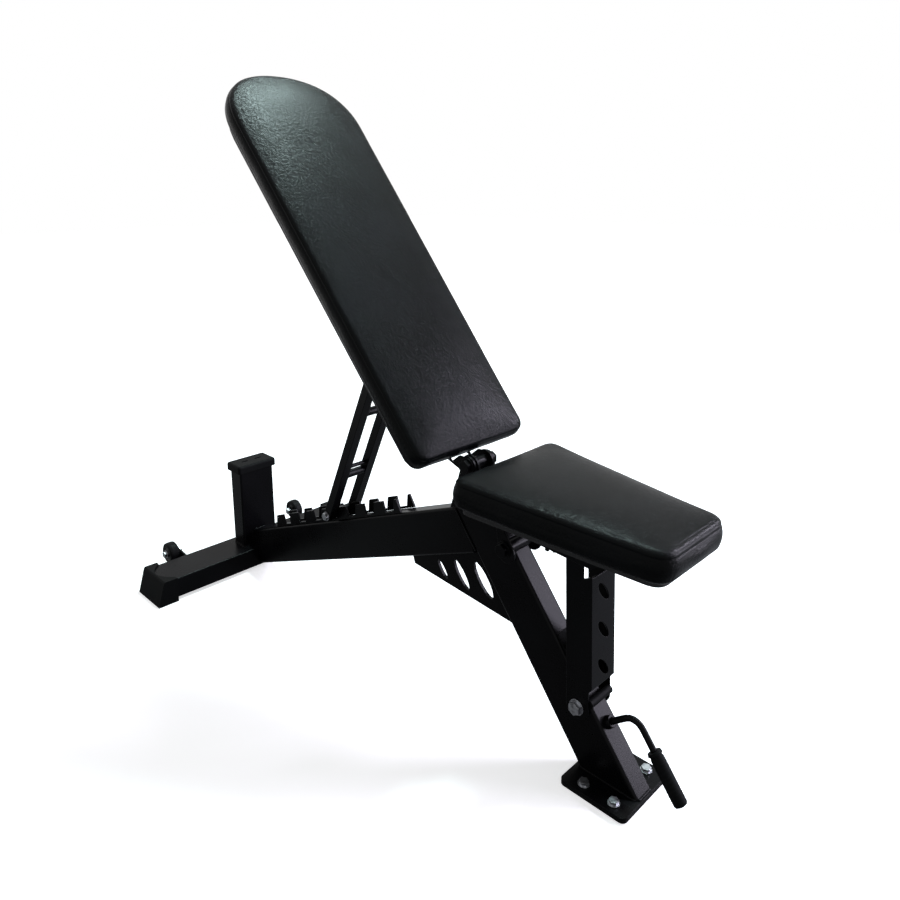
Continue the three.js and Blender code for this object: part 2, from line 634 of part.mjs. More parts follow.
function frontLeg() {
  const axis = (z) => new THREE.Vector2((legFront(z) + legRear(z)) / 2, z);
  const reach = FRAME_TUBE_DEPTH;
  const rearTop = beamMeetsLeg(legRear, 0);
  const frontTop = beamMeetsLeg(legFront, 0);
  const tube = slopedTube(axis(rearTop.y + 2 * reach), axis(-2 * reach), FRAME_TUBE_WIDTH, FRAME_TUBE_DEPTH,
    FRAME_TUBE_WALL);
  const foot = trimmer([
    [legRear(0) - 2 * reach, -3 * reach], [LEG_FOOT_FRONT + 4 * reach, -3 * reach],
    [LEG_FOOT_FRONT + 4 * reach, legFoot], [legRear(0) - 2 * reach, legFoot],
  ]);
  const head = trimmer([
    [rearTop.x - reach, beamTop(rearTop.x - reach)], [frontTop.x + reach, beamTop(frontTop.x + reach)],
    [frontTop.x + reach, frontTop.y + 4 * reach], [rearTop.x - 3 * reach, frontTop.y + 4 * reach],
    [rearTop.x - 3 * reach, beamTop(rearTop.x - reach)],
  ]);
  const handle = handlePlace();
  const handleHole = new THREE.CylinderGeometry(HANDLE_ROD_DIAMETER / 2 + BOLT_GAP,
    HANDLE_ROD_DIAMETER / 2 + BOLT_GAP, 4 * FRAME_TUBE_WALL, 24);
  handleHole.rotateZ(Math.PI / 2);
  handleHole.rotateY(LEG_ANGLE - Math.PI / 2);
  handleHole.translate(handle.x, 0, handle.y);
  return cut(tube, [
    foot, head,
    boreY(SEAT_PIN_DIAMETER / 2 + PIVOT_TUBE_WALL + SEAT_GAP, -FRAME_TUBE_WIDTH, FRAME_TUBE_WIDTH,
      SEAT_HINGE_X, SEAT_HINGE_Z),
    boreY(STRUT_PIN_DIAMETER / 2 + BOLT_GAP, -FRAME_TUBE_WIDTH, FRAME_TUBE_WIDTH, STRUT_PIVOT_X, STRUT_PIVOT_Z),
    handleHole,
  ]);
}

function gussetPlate() {
  const gap = SEAT_GAP;
  const nearLeg = (z) => legRear(z) - gap / Math.sin(LEG_ANGLE);
  const frontX = nearLeg(GUSSET_FRONT_HEIGHT);
  const rearX = frontX - GUSSET_LENGTH;
  const under = (x) => beamBottom(x) - gap / Math.cos(BEAM_ANGLE);
  const corner = beamMeetsLeg(nearLeg, FRAME_TUBE_DEPTH + gap);
  const plate = outline([
    [rearX, under(rearX)],
    [rearX + GUSSET_REAR_DROP / 3, under(rearX) - GUSSET_REAR_DROP],
    [frontX, GUSSET_FRONT_HEIGHT],
    [corner.x, corner.y],
  ]);
  const holes = GUSSET_HOLES.map(({ length, width, behind, below }) => {
    const x = corner.x - behind;
    return slab(ellipse(x, under(x) - below, length, width, -LEG_ANGLE), -GUSSET_THICKNESS, GUSSET_THICKNESS);
  });
  return cut(slab(plate, -GUSSET_THICKNESS / 2, GUSSET_THICKNESS / 2), holes);
}

// ---------------------------------------------------------------- base plate
const baseMiddle = LEG_FOOT_FRONT + BASE_FRONT_MARGIN - BASE_LENGTH / 2;
const baseBoltPlaces = [-1, 1].flatMap((alongX) => [-1, 1].map((alongY) => [
  baseMiddle + BASE_BOLT_SHIFT + alongX * BASE_BOLT_SPACING_X / 2, alongY * BASE_BOLT_SPACING_Y / 2,
]));

function baseSheet(z0, z1) {
  const body = sheet(roundedRectangle(BASE_LENGTH, BASE_WIDTH, BASE_CORNER), z0, z1);
  body.translate(baseMiddle, 0, 0);
  const radius = BASE_BOLT_DIAMETER / 2 + BOLT_GAP;
  const holes = baseBoltPlaces.map(([x, y]) => barZ(radius, z0 - 1, z1 + 1, x, y, 20));
  return cut(body, holes);
}

function baseBolt([x, y]) {
  const bolt = hexBolt(BASE_BOLT_DIAMETER, baseTop + SEAT_GAP - BASE_BOLT_COVER);
  bolt.rotateX(Math.PI / 2);
  bolt.translate(x, y, baseTop + SEAT_GAP);
  return bolt;
}

// ---------------------------------------------------------------- notch plates
/** Side outline of a notch plate: teeth sloped at the rear and square at the front, the last one narrow. */
function notchPlateShape() {
  const points = [];
  const add = (x, height) => {
    const point = aboveBeam(x, height);
    points.push([point.x, point.y]);
  };
  const last = toothTip(NOTCH_COUNT);
  add(last + LAST_TOOTH_WIDTH, TOOTH_HEIGHT);
  add(last + LAST_TOOTH_WIDTH + LAST_TOOTH_SLOPE, SEAT_GAP);
  add(FIRST_TOOTH - TOOTH_SLOPE, SEAT_GAP);
  for (let index = 0; index < NOTCH_COUNT; index += 1) {
    add(toothTip(index) - TOOTH_SLOPE, NOTCH_FLOOR);
    add(toothTip(index), TOOTH_HEIGHT);
    add(toothTip(index) + TOOTH_WIDTH, TOOTH_HEIGHT);
    add(toothTip(index) + TOOTH_WIDTH, NOTCH_FLOOR);
  }
  add(last - TOOTH_SLOPE, NOTCH_FLOOR);
  add(last, TOOTH_HEIGHT);
  return outline(points);
}

// ---------------------------------------------------------------- hinge of the backrest
/** A plate outline from a wide straight foot up to a round end about a pin. */
function lugShape(pin, radius, footStart, footEnd) {
  const shape = new THREE.Shape();
  const tangent = (foot, side) => {
    const dx = foot[0] - pin[0];
    const dz = foot[1] - pin[1];
    const spread = Math.acos(radius / Math.hypot(dx, dz));
    return Math.atan2(dz, dx) + side * spread;
  };
  const startAngle = tangent(footEnd, 1);
  let endAngle = tangent(footStart, -1);
  if (endAngle < startAngle) endAngle += 2 * Math.PI;
  shape.moveTo(...footStart);
  shape.lineTo(...footEnd);
  shape.absarc(pin[0], pin[1], radius, startAngle, endAngle);
  return shape;
}

function hingePlate() {
  const middle = BACK_HINGE_X - HINGE_PLATE_OFFSET;
  const low = (x) => beamTop(x) + SEAT_GAP / Math.cos(BEAM_ANGLE);
  const shape = lugShape([BACK_HINGE_X, BACK_HINGE_Z], HINGE_PLATE_RADIUS,
    [middle - HINGE_PLATE_BASE / 2, low(middle - HINGE_PLATE_BASE / 2)],
    [middle + HINGE_PLATE_BASE / 2, low(middle + HINGE_PLATE_BASE / 2)]);
  const pinHole = boreY(HINGE_PIN_DIAMETER / 2 + BOLT_GAP, 0, FRAME_TUBE_WIDTH, BACK_HINGE_X, BACK_HINGE_Z);
  return cut(slab(shape, hingePlateInner, plateOuter), [pinHole]);
}

/** A tube along Y around a pin, reaching half to each side. */
function pivotTube(half, pinDiameter, point) {
  const outer = barY(pinDiameter / 2 + PIVOT_TUBE_WALL, -half, half, point.x, point.y);
  return cut(outer, [boreY(pinDiameter / 2 + BOLT_GAP, -2 * half, 2 * half, point.x, point.y)]);
}

/** A through bolt with its nut: head on the right, nut on the left, clamping faces at plus and minus half. */
function throughBolt(name, diameter, half, point, material = zinc()) {
  const bolt = boltAndNut(diameter, -half, half);
  bolt.translate(point.x, 0, point.y);
  return piece(name, bolt, material);
}

// ---------------------------------------------------------------- handle
/** Where the handle's axis crosses the leg's front face. */
function handlePlace() {
  return new THREE.Vector2(legFront(HANDLE_HEIGHT), HANDLE_HEIGHT);
}

/** The handle's centre line: square out of the leg, a round bend, then down beside it. */
class HandleLine extends THREE.Curve {
  constructor(inset, arm, bend, drop) {
    super();
    this.inset = inset;
    this.arm = arm;
    this.bend = bend;
    this.drop = drop;
    this.lengths = [inset + arm - bend, bend * Math.PI / 2, drop - bend];
    this.total = this.lengths.reduce((sum, length) => sum + length, 0);
  }

  getPoint(share, target = new THREE.Vector3()) {
    const along = share * this.total;
    const [straight, round] = this.lengths;
    if (along <= straight) return target.set(along - this.inset, 0, 0);
    if (along <= straight + round) {
      const angle = (along - straight) / this.bend;
      const x = this.arm - this.bend + this.bend * Math.sin(angle);
      return target.set(x, 0, -this.bend * (1 - Math.cos(angle)));
    }
    return target.set(this.arm, 0, -this.bend - (along - straight - round));
  }
}

function handlePieces() {
  const place = handlePlace();
  const radius = HANDLE_ROD_DIAMETER / 2;
  const circle = new THREE.Shape();
  circle.absarc(0, 0, radius, 0, Math.PI * 2);
  const line = new HandleLine(FRAME_TUBE_WALL, HANDLE_ARM, HANDLE_BEND, HANDLE_DROP - GRIP_END);
  const rod = new THREE.ExtrudeGeometry(circle, { steps: 26, extrudePath: line, curveSegments: 8 });
  const collar = cut(
    new THREE.CylinderGeometry(HANDLE_COLLAR_DIAMETER / 2 - HANDLE_COLLAR_TAPER, HANDLE_COLLAR_DIAMETER / 2,
      HANDLE_COLLAR_LENGTH, 28).rotateZ(-Math.PI / 2).translate(SEAT_GAP + HANDLE_COLLAR_LENGTH / 2, 0, 0),
    [new THREE.CylinderGeometry(radius + BOLT_GAP, radius + BOLT_GAP, 4 * HANDLE_COLLAR_LENGTH, 28)
      .rotateZ(Math.PI / 2)],
  );
  const gripTop = -HANDLE_DROP + GRIP_LENGTH;
  const gripRadius = GRIP_DIAMETER / 2;
  const groove = gripTop - 2 * GRIP_BEAD_WIDTH;
  const gripProfile = [
    [radius + BOLT_GAP, -HANDLE_DROP + GRIP_END], [0, -HANDLE_DROP + GRIP_END], [0, -HANDLE_DROP],
    [gripRadius - GRIP_NOSE, -HANDLE_DROP], [gripRadius - GRIP_NOSE / 4, -HANDLE_DROP + GRIP_NOSE / 3],
    [gripRadius, -HANDLE_DROP + GRIP_NOSE], [gripRadius, groove - GRIP_BEAD], [gripRadius - GRIP_BEAD, groove],
    [gripRadius - GRIP_BEAD, gripTop - GRIP_BEAD_WIDTH - GRIP_BEAD],
    [gripRadius + GRIP_BEAD, gripTop - GRIP_BEAD_WIDTH], [gripRadius, gripTop],
    [radius + BOLT_GAP, gripTop], [radius + BOLT_GAP, -HANDLE_DROP + GRIP_END],
  ].map(([r, z]) => new THREE.Vector2(r, z));
  const grip = new THREE.LatheGeometry(gripProfile, 28).rotateX(Math.PI / 2).translate(HANDLE_ARM, 0, 0);
  const tilt = LEG_ANGLE - Math.PI / 2;
  return tilted(place, tilt, [
    piece('handle_rod', rod, paint()),
    piece('handle_collar', collar, paint()),
    piece('handle_grip', grip, rubber()),
  ]);
}

function legBumper() {
  const plan = roundedRectangle(BUMPER_LENGTH, BUMPER_WIDTH, BUMPER_CORNER);
  return tilted(new THREE.Vector2(legFront(BUMPER_HEIGHT), BUMPER_HEIGHT), LEG_ANGLE, [
    piece('leg_bumper', sheet(plan, SEAT_GAP, SEAT_GAP + BUMPER_THICKNESS), rubber()),
  ]);
}

// ---------------------------------------------------------------- wheels
function wheelPieces(side, label) {
  const middle = side * WHEEL_TRACK / 2;
  const inner = WHEEL_TRACK / 2 - WHEEL_WIDTH / 2 - SLIDE_GAP;
  const outer = WHEEL_TRACK / 2 + WHEEL_WIDTH / 2 + SLIDE_GAP;
  const x = -WHEEL_BEHIND;
  const armEnd = rearTubeRear - SEAT_GAP;
  const halfHeight = WHEEL_BRACKET_HEIGHT / 2;
  const arm = new THREE.Shape();
  arm.moveTo(armEnd, Math.min(rearTubeTop - WHEEL_BRACKET_DROP, WHEEL_HEIGHT + halfHeight));
  arm.lineTo(x, WHEEL_HEIGHT + halfHeight);
  arm.absarc(x, WHEEL_HEIGHT, halfHeight, Math.PI / 2, Math.PI * 1.5);
  arm.lineTo(armEnd, rearTubeBottom + WHEEL_BRACKET_RISE);
  const bracket = cut(slab(arm, inner - WHEEL_BRACKET_THICKNESS, inner), [
    boreY(WHEEL_BOLT_DIAMETER / 2 + BOLT_GAP, 0, REAR_FOOT_WIDTH, x, WHEEL_HEIGHT, 20),
  ]);
  const bolt = boltAndNut(WHEEL_BOLT_DIAMETER, outer, inner - WHEEL_BRACKET_THICKNESS - SEAT_GAP);
  bolt.translate(x, 0, WHEEL_HEIGHT);
  const handed = (geometry) => (side > 0 ? geometry : mirrored(geometry));
  const half = WHEEL_WIDTH / 2;
  const hubBore = (WHEEL_BOLT_DIAMETER / 2 + RUN_GAP) / Math.cos(Math.PI / WHEEL_SIDES);
  const hubRadius = WHEEL_HUB_DIAMETER / 2;
  const bossTip = HUB_BOSS_RADIUS - HUB_BOSS_TAPER;
  const hubHalf = half + SLIDE_GAP / 2;
  const hubProfile = [
    [hubBore, -hubHalf], [bossTip, -hubHalf], [HUB_BOSS_RADIUS, HUB_RIM - half],
    [hubRadius - HUB_RIM, HUB_DISH - half], [hubRadius, RIM_SETBACK - half],
    [hubRadius, half - RIM_SETBACK], [hubRadius - HUB_RIM, half - HUB_DISH],
    [HUB_BOSS_RADIUS, half - HUB_RIM], [bossTip, hubHalf], [hubBore, hubHalf], [hubBore, -hubHalf],
  ].map(([r, y]) => new THREE.Vector2(r, y));
  const tyreInner = (WHEEL_HUB_DIAMETER / 2 + SEAT_GAP) / Math.cos(Math.PI / WHEEL_SIDES);
  const tread = WHEEL_DIAMETER / 2;
  const shoulder = [tread - TYRE_SHOULDER / 4, half - TYRE_SHOULDER / 2];
  const tyreProfile = [
    [tyreInner, RIM_SETBACK - half], [tread - TYRE_SHOULDER, -half], [shoulder[0], -shoulder[1]],
    [tread, TYRE_TREAD_SETBACK - half], [tread, half - TYRE_TREAD_SETBACK], shoulder,
    [tread - TYRE_SHOULDER, half], [tyreInner, half - RIM_SETBACK], [tyreInner, RIM_SETBACK - half],
  ].map(([r, y]) => new THREE.Vector2(r, y));
  const hub = piece(`wheel_hub_${label}`, new THREE.LatheGeometry(hubProfile, WHEEL_SIDES), plastic(),
    [x, middle, WHEEL_HEIGHT]);
  const tyre = piece(`wheel_tyre_${label}`, new THREE.LatheGeometry(tyreProfile, WHEEL_SIDES), rubber(),
    [x, middle, WHEEL_HEIGHT]);
  return [
    piece(`wheel_bracket_${label}`, handed(bracket), paint()),
    piece(`wheel_bolt_${label}`, handed(bolt), zinc()),
    hub, tyre,
  ];
}

// ---------------------------------------------------------------- backrest
/** Plan outline of the back pad in its own plane, x towards the seat, shrunk by an inset. */
function backPadShape(inset) {
  const lower = -BACK_PAD_GAP - inset;
  const shoulder = -BACK_PAD_GAP - BACK_PAD_LENGTH + BACK_PAD_HEAD_LENGTH;
  const head = -BACK_PAD_GAP - BACK_PAD_LENGTH + inset;
  const lowerHalf = BACK_PAD_LOWER_WIDTH / 2 - inset;
  const upperHalf = BACK_PAD_UPPER_WIDTH / 2 - inset;
  const corner = BACK_PAD_LOWER_CORNER - inset / 2;
  const headDepth = shoulder - head;
  const shape = new THREE.Shape();
  shape.moveTo(lower, -lowerHalf + corner);
  shape.lineTo(lower, lowerHalf - corner);
  shape.quadraticCurveTo(lower, lowerHalf, lower - corner, lowerHalf);
  shape.lineTo(shoulder, upperHalf);
  shape.bezierCurveTo(shoulder - headDepth * HEAD_SHOULDER, upperHalf, head, upperHalf * HEAD_CROWN, head, 0);
  shape.bezierCurveTo(head, -upperHalf * HEAD_CROWN, shoulder - headDepth * HEAD_SHOULDER, -upperHalf,
    shoulder, -upperHalf);
  shape.lineTo(lower - corner, -lowerHalf);
  shape.quadraticCurveTo(lower, -lowerHalf, lower, -lowerHalf + corner);
  return shape;
}

/** A cushion: a plan outline between two heights with rounded front and back edges. */
function cushion(shape, bottom, top, edge) {
  const geometry = new THREE.ExtrudeGeometry(shape, {
    depth: top - bottom - 2 * edge, bevelEnabled: true, bevelThickness: edge, bevelSize: edge,
    bevelOffset: -edge, bevelSegments: 4, curveSegments: CUSHION_SEGMENTS,
  });
  geometry.translate(0, 0, bottom + edge);
  return geometry;
}

/** The ear passes below the pad's end, so its front edge steps out from the pin's boss and drops square. */
function backEar() {
  const rear = railFront - RAIL_DEPTH + EAR_EDGE;
  const spread = Math.acos(EAR_RADIUS / Math.hypot(EAR_HEEL, rear));
  const shape = new THREE.Shape();
  shape.moveTo(-EAR_LENGTH, railFront - EAR_EDGE);
  shape.lineTo(-EAR_LENGTH, rear);
  shape.lineTo(-EAR_HEEL, rear);
  shape.absarc(0, 0, EAR_RADIUS, Math.atan2(rear, -EAR_HEEL) + spread, Math.PI);
  shape.lineTo(EAR_NOSE - BACK_PAD_GAP, -EAR_RADIUS / 2);
  shape.lineTo(EAR_NOSE - BACK_PAD_GAP, railFront);
  return cut(slab(shape, earInner, earOuter), [
    boreY(HINGE_PIN_DIAMETER / 2 + RUN_GAP, 0, FRAME_TUBE_WIDTH),
  ]);
}

function backRail() {
  const rail = tubeX(-RAIL_START - RAIL_LENGTH, -RAIL_START, RAIL_WIDTH, RAIL_DEPTH, RAIL_WALL,
    RAIL_CORNER);
  rail.translate(0, 0, railMiddle);
  return cut(rail, [
    boreY(LADDER_PIN_DIAMETER / 2 + BOLT_GAP, -RAIL_WIDTH, RAIL_WIDTH, -LADDER_PIVOT_DISTANCE, railMiddle),
  ]);
}

function crossPlate(place) {
  const plate = sheet(roundedRectangle(CROSS_PLATE_WIDTH, CROSS_PLATE_LENGTH, CROSS_PLATE_CORNER),
    crossPlateFront - CROSS_PLATE_THICKNESS, crossPlateFront);
  plate.translate(-place, 0, 0);
  return plate;
}

function backrestPieces() {
  const pivotHere = new THREE.Vector2(-LADDER_PIVOT_DISTANCE, railMiddle);
  return tilted(backHinge, BACK_REST_ANGLE, [
    piece('back_pad', cushion(backPadShape(0), padBack, BACK_FACE_OFFSET, BACK_PAD_EDGE), vinyl()),
    piece('back_board', sheet(backPadShape(BOARD_INSET), boardBack, boardFront, CUSHION_SEGMENTS), plywood()),
    piece('back_rail', backRail(), paint()),
    piece('back_cross_plate_lower', crossPlate(CROSS_PLATE_PLACES[0]), paint()),
    piece('back_cross_plate_upper', crossPlate(CROSS_PLATE_PLACES[1]), paint()),
    ...pair('back_hinge_ear', backEar(), paint),
    throughBolt('ladder_pivot_bolt', LADDER_PIN_DIAMETER, barOuter + SEAT_GAP, pivotHere),
  ]);
}

// ---------------------------------------------------------------- ladder
function ladderBar() {
  const half = LADDER_BAR_SIZE / 2;
  const shape = new THREE.Shape();
  shape.moveTo(half, -ladderLength - LADDER_BAR_OVERRUN + half);
  shape.lineTo(half, LADDER_BAR_OVERRUN - half);
  shape.absarc(0, LADDER_BAR_OVERRUN - half, half, 0, Math.PI);
  shape.lineTo(-half, -ladderLength - LADDER_BAR_OVERRUN + half);
  shape.absarc(0, -ladderLength - LADDER_BAR_OVERRUN + half, half, Math.PI, 2 * Math.PI);
  return cut(slab(shape, barInner, barOuter), [
    boreY(LADDER_PIN_DIAMETER / 2 + RUN_GAP, 0, 2 * barOuter),
    boreY(FOOT_BOLT_DIAMETER / 2 + BOLT_GAP, barInner + FOOT_BOLT_STOP, 2 * barOuter, 0, -ladderLength, 20),
  ]);
}

function footBolt() {
  const bolt = hexBolt(FOOT_BOLT_DIAMETER, LADDER_BAR_SIZE - FOOT_BOLT_STOP - 2 * SEAT_GAP);
  bolt.translate(0, barOuter + SEAT_GAP, -ladderLength);
  return bolt;
}

function ladderPieces() {
  const reach = barInner - SEAT_GAP;
  const rung = (diameter, place) => barY(diameter / 2, -reach, reach, 0, place - ladderLength);
  return tilted(ladderPivot, ladderTilt, [
    ...pair('ladder_bar', ladderBar(), paint),
    piece('ladder_rung_lower', rung(LADDER_RUNG_DIAMETER, LADDER_RUNG_PLACES[0]), paint()),
    piece('ladder_rung_upper', rung(LADDER_RUNG_DIAMETER, LADDER_RUNG_PLACES[1]), paint()),
    piece('ladder_tie_rod', rung(LADDER_TIE_DIAMETER, LADDER_TIE_PLACE), paint()),
    ...pair('ladder_foot_bolt', footBolt(), zinc),
  ]);
}

function footRod() {
  const half = barInner - SEAT_GAP;
  return barY(FOOT_ROD_DIAMETER / 2, -half, half, ladderFoot.x, ladderFoot.y);
}

// ---------------------------------------------------------------- seat
/** Plan outline of the seat pad, x forwards, shrunk by an inset. */
function seatPadShape(inset) {
  const rear = -SEAT_PAD_REAR + inset;
  const front = SEAT_PAD_LENGTH - SEAT_PAD_REAR - inset;
  const rearHalf = SEAT_PAD_REAR_WIDTH / 2 - inset;
  const frontHalf = SEAT_PAD_FRONT_WIDTH / 2 - inset;
  const corner = SEAT_PAD_CORNER - inset / 2;
  const taper = (rearHalf - frontHalf) / (front - rear);
  const shape = new THREE.Shape();
  shape.moveTo(rear, rearHalf - corner);
  shape.lineTo(rear, -rearHalf + corner);
  shape.quadraticCurveTo(rear, -rearHalf, rear + corner, -rearHalf + corner * taper);
  shape.lineTo(front - corner, -frontHalf - corner * taper);
  shape.quadraticCurveTo(front, -frontHalf, front, -frontHalf + corner);
  shape.lineTo(front, frontHalf - corner);
  shape.quadraticCurveTo(front, frontHalf, front - corner, frontHalf + corner * taper);
  shape.lineTo(rear + corner, rearHalf - corner * taper);
  shape.quadraticCurveTo(rear, rearHalf, rear, rearHalf - corner);
  return shape;
}

const seatPadBottom = SEAT_TOP_OFFSET - SEAT_PAD_THICKNESS;
const seatBoardBottom = seatPadBottom - SEAT_GAP - BOARD_THICKNESS;
const channelTop = seatBoardBottom - SEAT_GAP;
const channelInner = SEAT_CHANNEL_WIDTH / 2 - SEAT_CHANNEL_WALL;

/** The channel under the seat: its sides reach down at the rear as lobes that lie along the leg. */
function seatChannel() {
  const slope = LEG_ANGLE - SEAT_REST_DROP;
  const past = SEAT_LOBE_REACH - SEAT_LOBE_RADIUS;
  const lobe = new THREE.Vector2(past * Math.cos(slope), -past * Math.sin(slope));
  const ahead = Math.PI / 2 - slope;
  const edge = SEAT_LOBE_RADIUS / Math.cos(ahead);
  const side = new THREE.Shape();
  side.moveTo(-SEAT_CHANNEL_REAR, channelTop);
  side.lineTo(-SEAT_CHANNEL_REAR, SEAT_CHANNEL_BOTTOM);
  side.absarc(lobe.x, lobe.y, SEAT_LOBE_RADIUS, ahead + Math.PI, ahead + 2 * Math.PI);
  side.lineTo(edge - SEAT_CHANNEL_BOTTOM / Math.tan(slope), SEAT_CHANNEL_BOTTOM);
  side.lineTo(SEAT_CHANNEL_FRONT - SEAT_CHANNEL_NOSE, SEAT_CHANNEL_BOTTOM);
  side.lineTo(SEAT_CHANNEL_FRONT, SEAT_CHANNEL_BOTTOM + SEAT_CHANNEL_NOSE_RISE);
  side.lineTo(SEAT_CHANNEL_FRONT, channelTop);
  const half = SEAT_CHANNEL_WIDTH / 2;
  const hollow = block(-2 * SEAT_CHANNEL_FRONT, 2 * SEAT_CHANNEL_FRONT, -channelInner, channelInner,
    -SEAT_CHANNEL_FRONT, channelTop - SEAT_CHANNEL_WALL);
  return cut(slab(side, -half, half), [
    hollow,
    boreY(SEAT_PIN_DIAMETER / 2 + RUN_GAP, -2 * half, 2 * half),
  ]);
}

/** The plate that sits on the adjusting pin: half-round notches, one for each seat position. */
function seatRack() {
  const places = [];
  for (let index = 0; index < RACK_NOTCHES; index += 1) places.push(adjustPinPlace(index / (RACK_NOTCHES - 1)));
  const front = places[0];
  const rear = places[RACK_NOTCHES - 1];
  const top = channelTop - SEAT_CHANNEL_WALL - SEAT_GAP;
  const plate = outline([
    [rear.x - RACK_MARGIN, top],
    [rear.x - RACK_MARGIN, rear.y],
    ...places.map((place) => [place.x, place.y]).reverse(),
    [front.x + RACK_MARGIN, front.y],
    [front.x + RACK_MARGIN, top],
  ]);
  const notches = places.map((place) => (
    boreY(ADJUST_PIN_DIAMETER / 2 + BOLT_GAP, 0, RACK_SPACING, place.x, place.y)
  ));
  return cut(slab(plate, RACK_SPACING / 2 - RACK_THICKNESS, RACK_SPACING / 2), notches);
}

function adjustPin() {
  const half = channelInner - SEAT_GAP;
  const place = adjustPinPlace(0);
  return barY(ADJUST_PIN_DIAMETER / 2, -half, half, place.x, place.y);
}

function seatPieces() {
  return tilted(seatHinge, SEAT_REST_DROP, [
    piece('seat_pad', cushion(seatPadShape(0), seatPadBottom, SEAT_TOP_OFFSET, SEAT_PAD_EDGE), vinyl()),
    piece('seat_board', sheet(seatPadShape(BOARD_INSET), seatBoardBottom, seatPadBottom - SEAT_GAP,
      CUSHION_SEGMENTS), plywood()),
    piece('seat_channel', seatChannel(), paint()),
    ...pair('seat_rack', seatRack(), paint),
    piece('seat_adjust_pin', adjustPin(), zinc()),
  ]);
}

// ---------------------------------------------------------------- strut
function strutChannel() {
  const half = STRUT_WIDTH / 2;
  const saddle = STRUT_HEIGHT - ADJUST_PIN_DIAMETER / 2 - SEAT_GAP;
  const webTop = STRUT_HEIGHT - STRUT_WEB_TOP;
  const lip = strutHeadMiddle - ADJUST_PIN_DIAMETER / 2 - SLIDE_GAP;
  const flange = new THREE.Shape();
  flange.absarc(0, 0, STRUT_FOOT_RADIUS, Math.PI, Math.PI * 2);
  flange.lineTo(STRUT_FRONT - STRUT_CHAMFER, STRUT_WEB_BOTTOM - STRUT_CHAMFER);
  flange.lineTo(STRUT_FRONT, STRUT_WEB_BOTTOM);
  flange.lineTo(STRUT_FRONT, webTop);
  flange.lineTo(STRUT_FRONT - STRUT_SHOULDER, webTop);
  flange.lineTo(STRUT_HEAD_FRONT, webTop - STRUT_SHOULDER);
  flange.lineTo(STRUT_HEAD_FRONT, saddle);
  flange.lineTo(lip, saddle);
  flange.lineTo(lip - STRUT_LIP, saddle + STRUT_LIP);
  flange.lineTo(-STRUT_REAR, saddle + STRUT_LIP);
  flange.lineTo(-STRUT_REAR, STRUT_FOOT_RADIUS);
  const inside = half - STRUT_WALL;
  const hollow = block(-2 * STRUT_REAR, STRUT_FRONT - STRUT_WALL, -inside, inside, -STRUT_HEIGHT,
    2 * STRUT_HEIGHT);
  const belowWeb = block(0, 2 * STRUT_FRONT, -inside, inside, -STRUT_HEIGHT, STRUT_WEB_BOTTOM);
  const slots = [];
  for (let index = 0; index < STRUT_SLOT_COUNT; index += 1) {
    const slot = new THREE.ExtrudeGeometry(
      ellipse(0, 0, STRUT_SLOT_LENGTH, STRUT_SLOT_WIDTH, -STRUT_SLOT_ANGLE),
      { depth: 4 * STRUT_WALL, bevelEnabled: false, curveSegments: 14 },
    );
    slot.rotateX(Math.PI / 2);
    slot.rotateZ(Math.PI / 2);
    slot.translate(STRUT_FRONT - 2 * STRUT_WALL, 0, STRUT_FIRST_SLOT + index * STRUT_SLOT_PITCH);
    slots.push(slot);
  }
  return cut(slab(flange, -half, half), [
    hollow, belowWeb, ...slots,
    boreY(STRUT_PIN_DIAMETER / 2 + RUN_GAP, -STRUT_WIDTH, STRUT_WIDTH),
  ]);
}

/** Middle of the stop rod in the strut's own axes. */
function stopRodPlace() {
  const angle = STOP_ROD_ANGLE - STRUT_LEAN;
  return new THREE.Vector2(STOP_ROD_REACH * Math.cos(angle), STOP_ROD_REACH * Math.sin(angle));
}

function strutPieces() {
  const stopRod = stopRodPlace();
  const inside = STRUT_WIDTH / 2 - STRUT_WALL - SEAT_GAP;
  const sleeve = cut(barY(STOP_SLEEVE_DIAMETER / 2, -inside, inside, stopRod.x, stopRod.y), [
    boreY(STOP_ROD_DIAMETER / 2 + BOLT_GAP, -STRUT_WIDTH, STRUT_WIDTH, stopRod.x, stopRod.y),
  ]);
  return tilted(strutPivot, -STRUT_LEAN, [
    piece('seat_strut', strutChannel(), paint()),
    piece('strut_stop_rod', barY(STOP_ROD_DIAMETER / 2, -inside, inside, stopRod.x, stopRod.y), paint()),
    piece('strut_stop_sleeve', sleeve, rubber()),
  ]);
}

